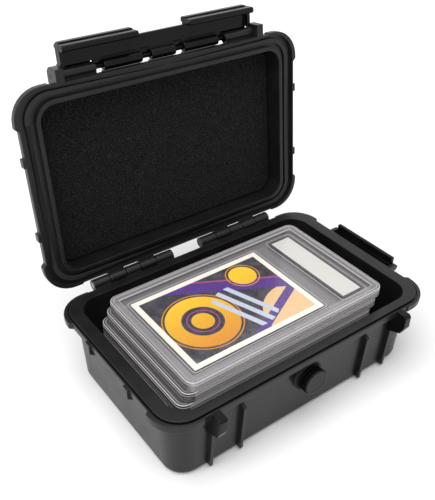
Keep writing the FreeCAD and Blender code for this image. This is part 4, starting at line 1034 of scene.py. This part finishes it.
def pileSlab(number, middle, bands):
    # Half a slab from its bands, lowest first
    mesh = bmesh.new()
    halfX, halfY = slabs["half"]
    rings, tones = [], []
    for inset, height, tone in bands:
        corner = max(slabs["corner"] - inset, slabs["cornerLeast"])
        points = outline(halfX - inset, halfY - inset, corner, steps=6)
        rings.append(level(points, height, middle))
        tones.append(tone)
    stackRings(mesh, rings, tones + [slabs["windowTone"]])
    layer = mesh.faces.layers.float["tone"]
    # Painted shade: ends, which look into the dark gap beside the stack, and the ledges under the top
    # slab are darkened towards the shade tone, passing a painted glint where the corners turn
    ledge = middle[0] - halfX + slabs["ledge"]
    palest, darkest = slabs["shaded"]
    for face in mesh.faces:
        face.normal_update()
        under = number < slabs["count"] and face.calc_center_median().x < ledge
        turn = 2 * (abs(face.normal.x) - slabs["endFrom"])
        share = 1.0 if under else max(0.0, min(1.0, turn))
        if palest < face[layer] < darkest:
            face[layer] += (slabs["endShade"] - face[layer]) * share
    return mesh


def addWell(mesh, centre, size, corner, top):
    # Raised edge of a well in the back half, in a painted highlight tone
    inner, outer = slabs["wellGap"], slabs["wellGap"] + slabs["wellWidth"]
    low, high = (top + rise for rise in slabs["wellRise"])
    rings = []
    for reach, height in ((inner, low), (inner, high), (outer, high), (outer, low)):
        points = outline(size[0] / 2 + reach, size[1] / 2 + reach, corner + reach, steps=4)
        rings.append(level(points, height, centre))
    stackRings(mesh, rings, [slabs["wellHighlightTone"]] * len(rings), hoop=True)


def makeSlab(number):
    shift = {slabs["count"]: 0.0, slabs["count"] - 1: slabs["second"]}.get(number, slabs["rest"])
    middle = (slabs["middle"][0] - shift, slabs["middle"][1])
    low = base["floor"] + slabs["thick"] * (number - 1)
    joint = low + slabs["joint"]
    high = low + slabs["thick"]
    gap, seam, seamShadeTone = slabs["gap"], slabs["seam"], slabs["seamShadeTone"]
    foot = zip(reversed(easing(slabs["edge"])), slabs["footTones"])
    bands = [(inset, low + gap + rise, tone) for (inset, rise), tone in foot]
    bands += [(inset, low + rise, tone) for inset, rise, tone in slabs["backBands"]]
    bands += [(0.0, joint - seam, slabs["sideTone"]), (seam, joint - gap, seamShadeTone)]
    back = pileSlab(number, middle, bands)
    top = low + slabs["cardTop"]
    for key, look, material in (("card", cardLook, cardMaterial), ("label", labelLook, labelMaterial)):
        size = (look["length"], look["width"])
        centre = (middle[0] + slabs[key][0], middle[1] + slabs[key][1])
        addWell(back, centre, size, slabs[key + "Corner"], top)
        makePrint(key, number, centre, size, top - slabs[key + "Thick"], top, material)
    makePiece("slabBack%d" % number, back, clearMaterial, "base", ["slab_%d_back" % number])
    bands = [(seam, joint + gap, slabs["windowTone"]), (0.0, joint + seam, seamShadeTone)]
    bands += [(inset, high - drop, tone) for inset, drop, tone in slabs["frontBands"]]
    front = pileSlab(number, middle, bands)
    makePiece("slabFront%d" % number, front, clearMaterial, "base", ["slab_%d_front" % number])


for number in range(1, slabs["count"] + 1):
    makeSlab(number)
print("slabs stacked")

# Small pieces kept from the frame
finishes = (
    (steelMaterial, "steel", "hinge_pin_left hinge_pin_right strap_pin_front strap_pin_back"),
    (blackSteelMaterial, "steel", "latch_pin"),
    (rubberMaterial, "rubber", "valve_washer"),
    (latchMaterial, "latch", "valve_body valve_nut"),
)
for material, slot, nodes in finishes:
    for node in nodes.split():
        piece = frame["nodes"][node]
        piece.data.materials.clear()
        piece.data.materials.append(material)
print("small pieces finished")

stage = {
    "floor": 4.0, "drop": 0.0002, "paper": "#f4f4f4", "paperRough": 0.9, "paperSpecular": 0.1,
    "sky": 0.2,
    "sun": 3.3, "sunAngle": 70, "sunPlace": (-0.5, -0.3, 2.0), "sunAim": (0, 0, 0),
    "box": 6.0, "boxSize": 0.8, "boxPlace": (-1.1, 0.1, 0.5), "boxAim": (0, 0, 0.05),
}


def makeStage():
    mesh = bmesh.new()
    reach = stage["floor"]
    corners = ((-reach, -reach), (reach, -reach), (reach, reach), (-reach, reach))
    mesh.faces.new([mesh.verts.new((x, y, -stage["drop"])) for x, y in corners])
    floor = addObject("floor", meshData("floor", mesh))
    # Matt studio paper
    material, tree = startMaterial("studioPaper")
    closeMaterial(tree, {"Base Color": linear(stage["paper"]), "Roughness": stage["paperRough"],
                         "Specular IOR Level": stage["paperSpecular"]})
    floor.data.materials.append(material)
    world = bpy.data.worlds.new("studio")
    world.use_nodes = True
    tree = world.node_tree
    tree.nodes.clear()
    # White to the eye and in gloss, soft fill for everything else
    rays = addNode(tree, "ShaderNodeLightPath").outputs
    seen = rays["Is Camera Ray"]
    for kind in ("Is Glossy Ray", "Is Transmission Ray"):
        seen = addNode(tree, "ShaderNodeMath", {0: seen, 1: rays[kind]}, operation="MAXIMUM")
    white = addNode(tree, "ShaderNodeBackground", {"Color": (1, 1, 1, 1), "Strength": 1.0})
    fill = addNode(tree, "ShaderNodeBackground", {"Color": (1, 1, 1, 1), "Strength": stage["sky"]})
    both = addNode(tree, "ShaderNodeMixShader", {0: seen, 1: fill, 2: white})
    addNode(tree, "ShaderNodeOutputWorld", {"Surface": both})
    bpy.context.scene.world = world


def addLamp(name, kind, energy, place, aim, **settings):
    lamp = bpy.data.lights.new(name, kind)
    lamp.energy = energy
    for key, value in settings.items():
        setattr(lamp, key, value)
    item = addObject(name, lamp)
    item.location = place
    item.rotation_mode = "QUATERNION"
    item.rotation_quaternion = (Vector(aim) - Vector(place)).to_track_quat("-Z", "Y")
    return item


def sparePieces(lamp, material):
    # Pieces of one material take no light from a lamp, whose mirror image would hide the card
    spared = bpy.data.collections.new("sparedPieces")
    for piece in bpy.context.scene.objects:
        if piece.type == "MESH" and material.name in piece.data.materials:
            spared.objects.link(piece)
    for held in spared.collection_objects:
        held.light_linking.link_state = "EXCLUDE"
    lamp.light_linking.receiver_collection = spared


makeStage()
spread = math.radians(stage["sunAngle"])
addLamp("topLight", "SUN", stage["sun"], stage["sunPlace"], stage["sunAim"], angle=spread)
size = stage["boxSize"]
leftBox = addLamp("leftBox", "AREA", stage["box"], stage["boxPlace"], stage["boxAim"], size=size)
sparePieces(leftBox, clearMaterial)
print("stage set")

camera = {
    "turn": -37.13, "rise": 35.02, "roll": -1.11, "place": (-0.2079, -0.2455, 0.3075),
    "lens": 50.65, "sensor": 36.0, "near": 0.01,
}


def makeCamera():
    turn, rise, roll = (math.radians(camera[key]) for key in ("turn", "rise", "roll"))
    back = Vector((math.sin(turn) * math.cos(rise), -math.cos(turn) * math.cos(rise), math.sin(rise)))
    right = (-back).cross(Vector((0, 0, 1))).normalized()
    down = (-back).cross(right)
    across = math.cos(roll) * right + math.sin(roll) * down
    below = -math.sin(roll) * right + math.cos(roll) * down
    data = bpy.data.cameras.new("camera")
    data.lens = camera["lens"]
    data.sensor_width = camera["sensor"]
    data.clip_start = camera["near"]
    item = addObject("camera", data)
    facing = Matrix((across, -below, back)).transposed().to_4x4()
    item.matrix_world = Matrix.Translation(camera["place"]) @ facing
    bpy.context.scene.camera = item


makeCamera()
bpy.context.scene.view_settings.view_transform = "Standard"
print("camera set")
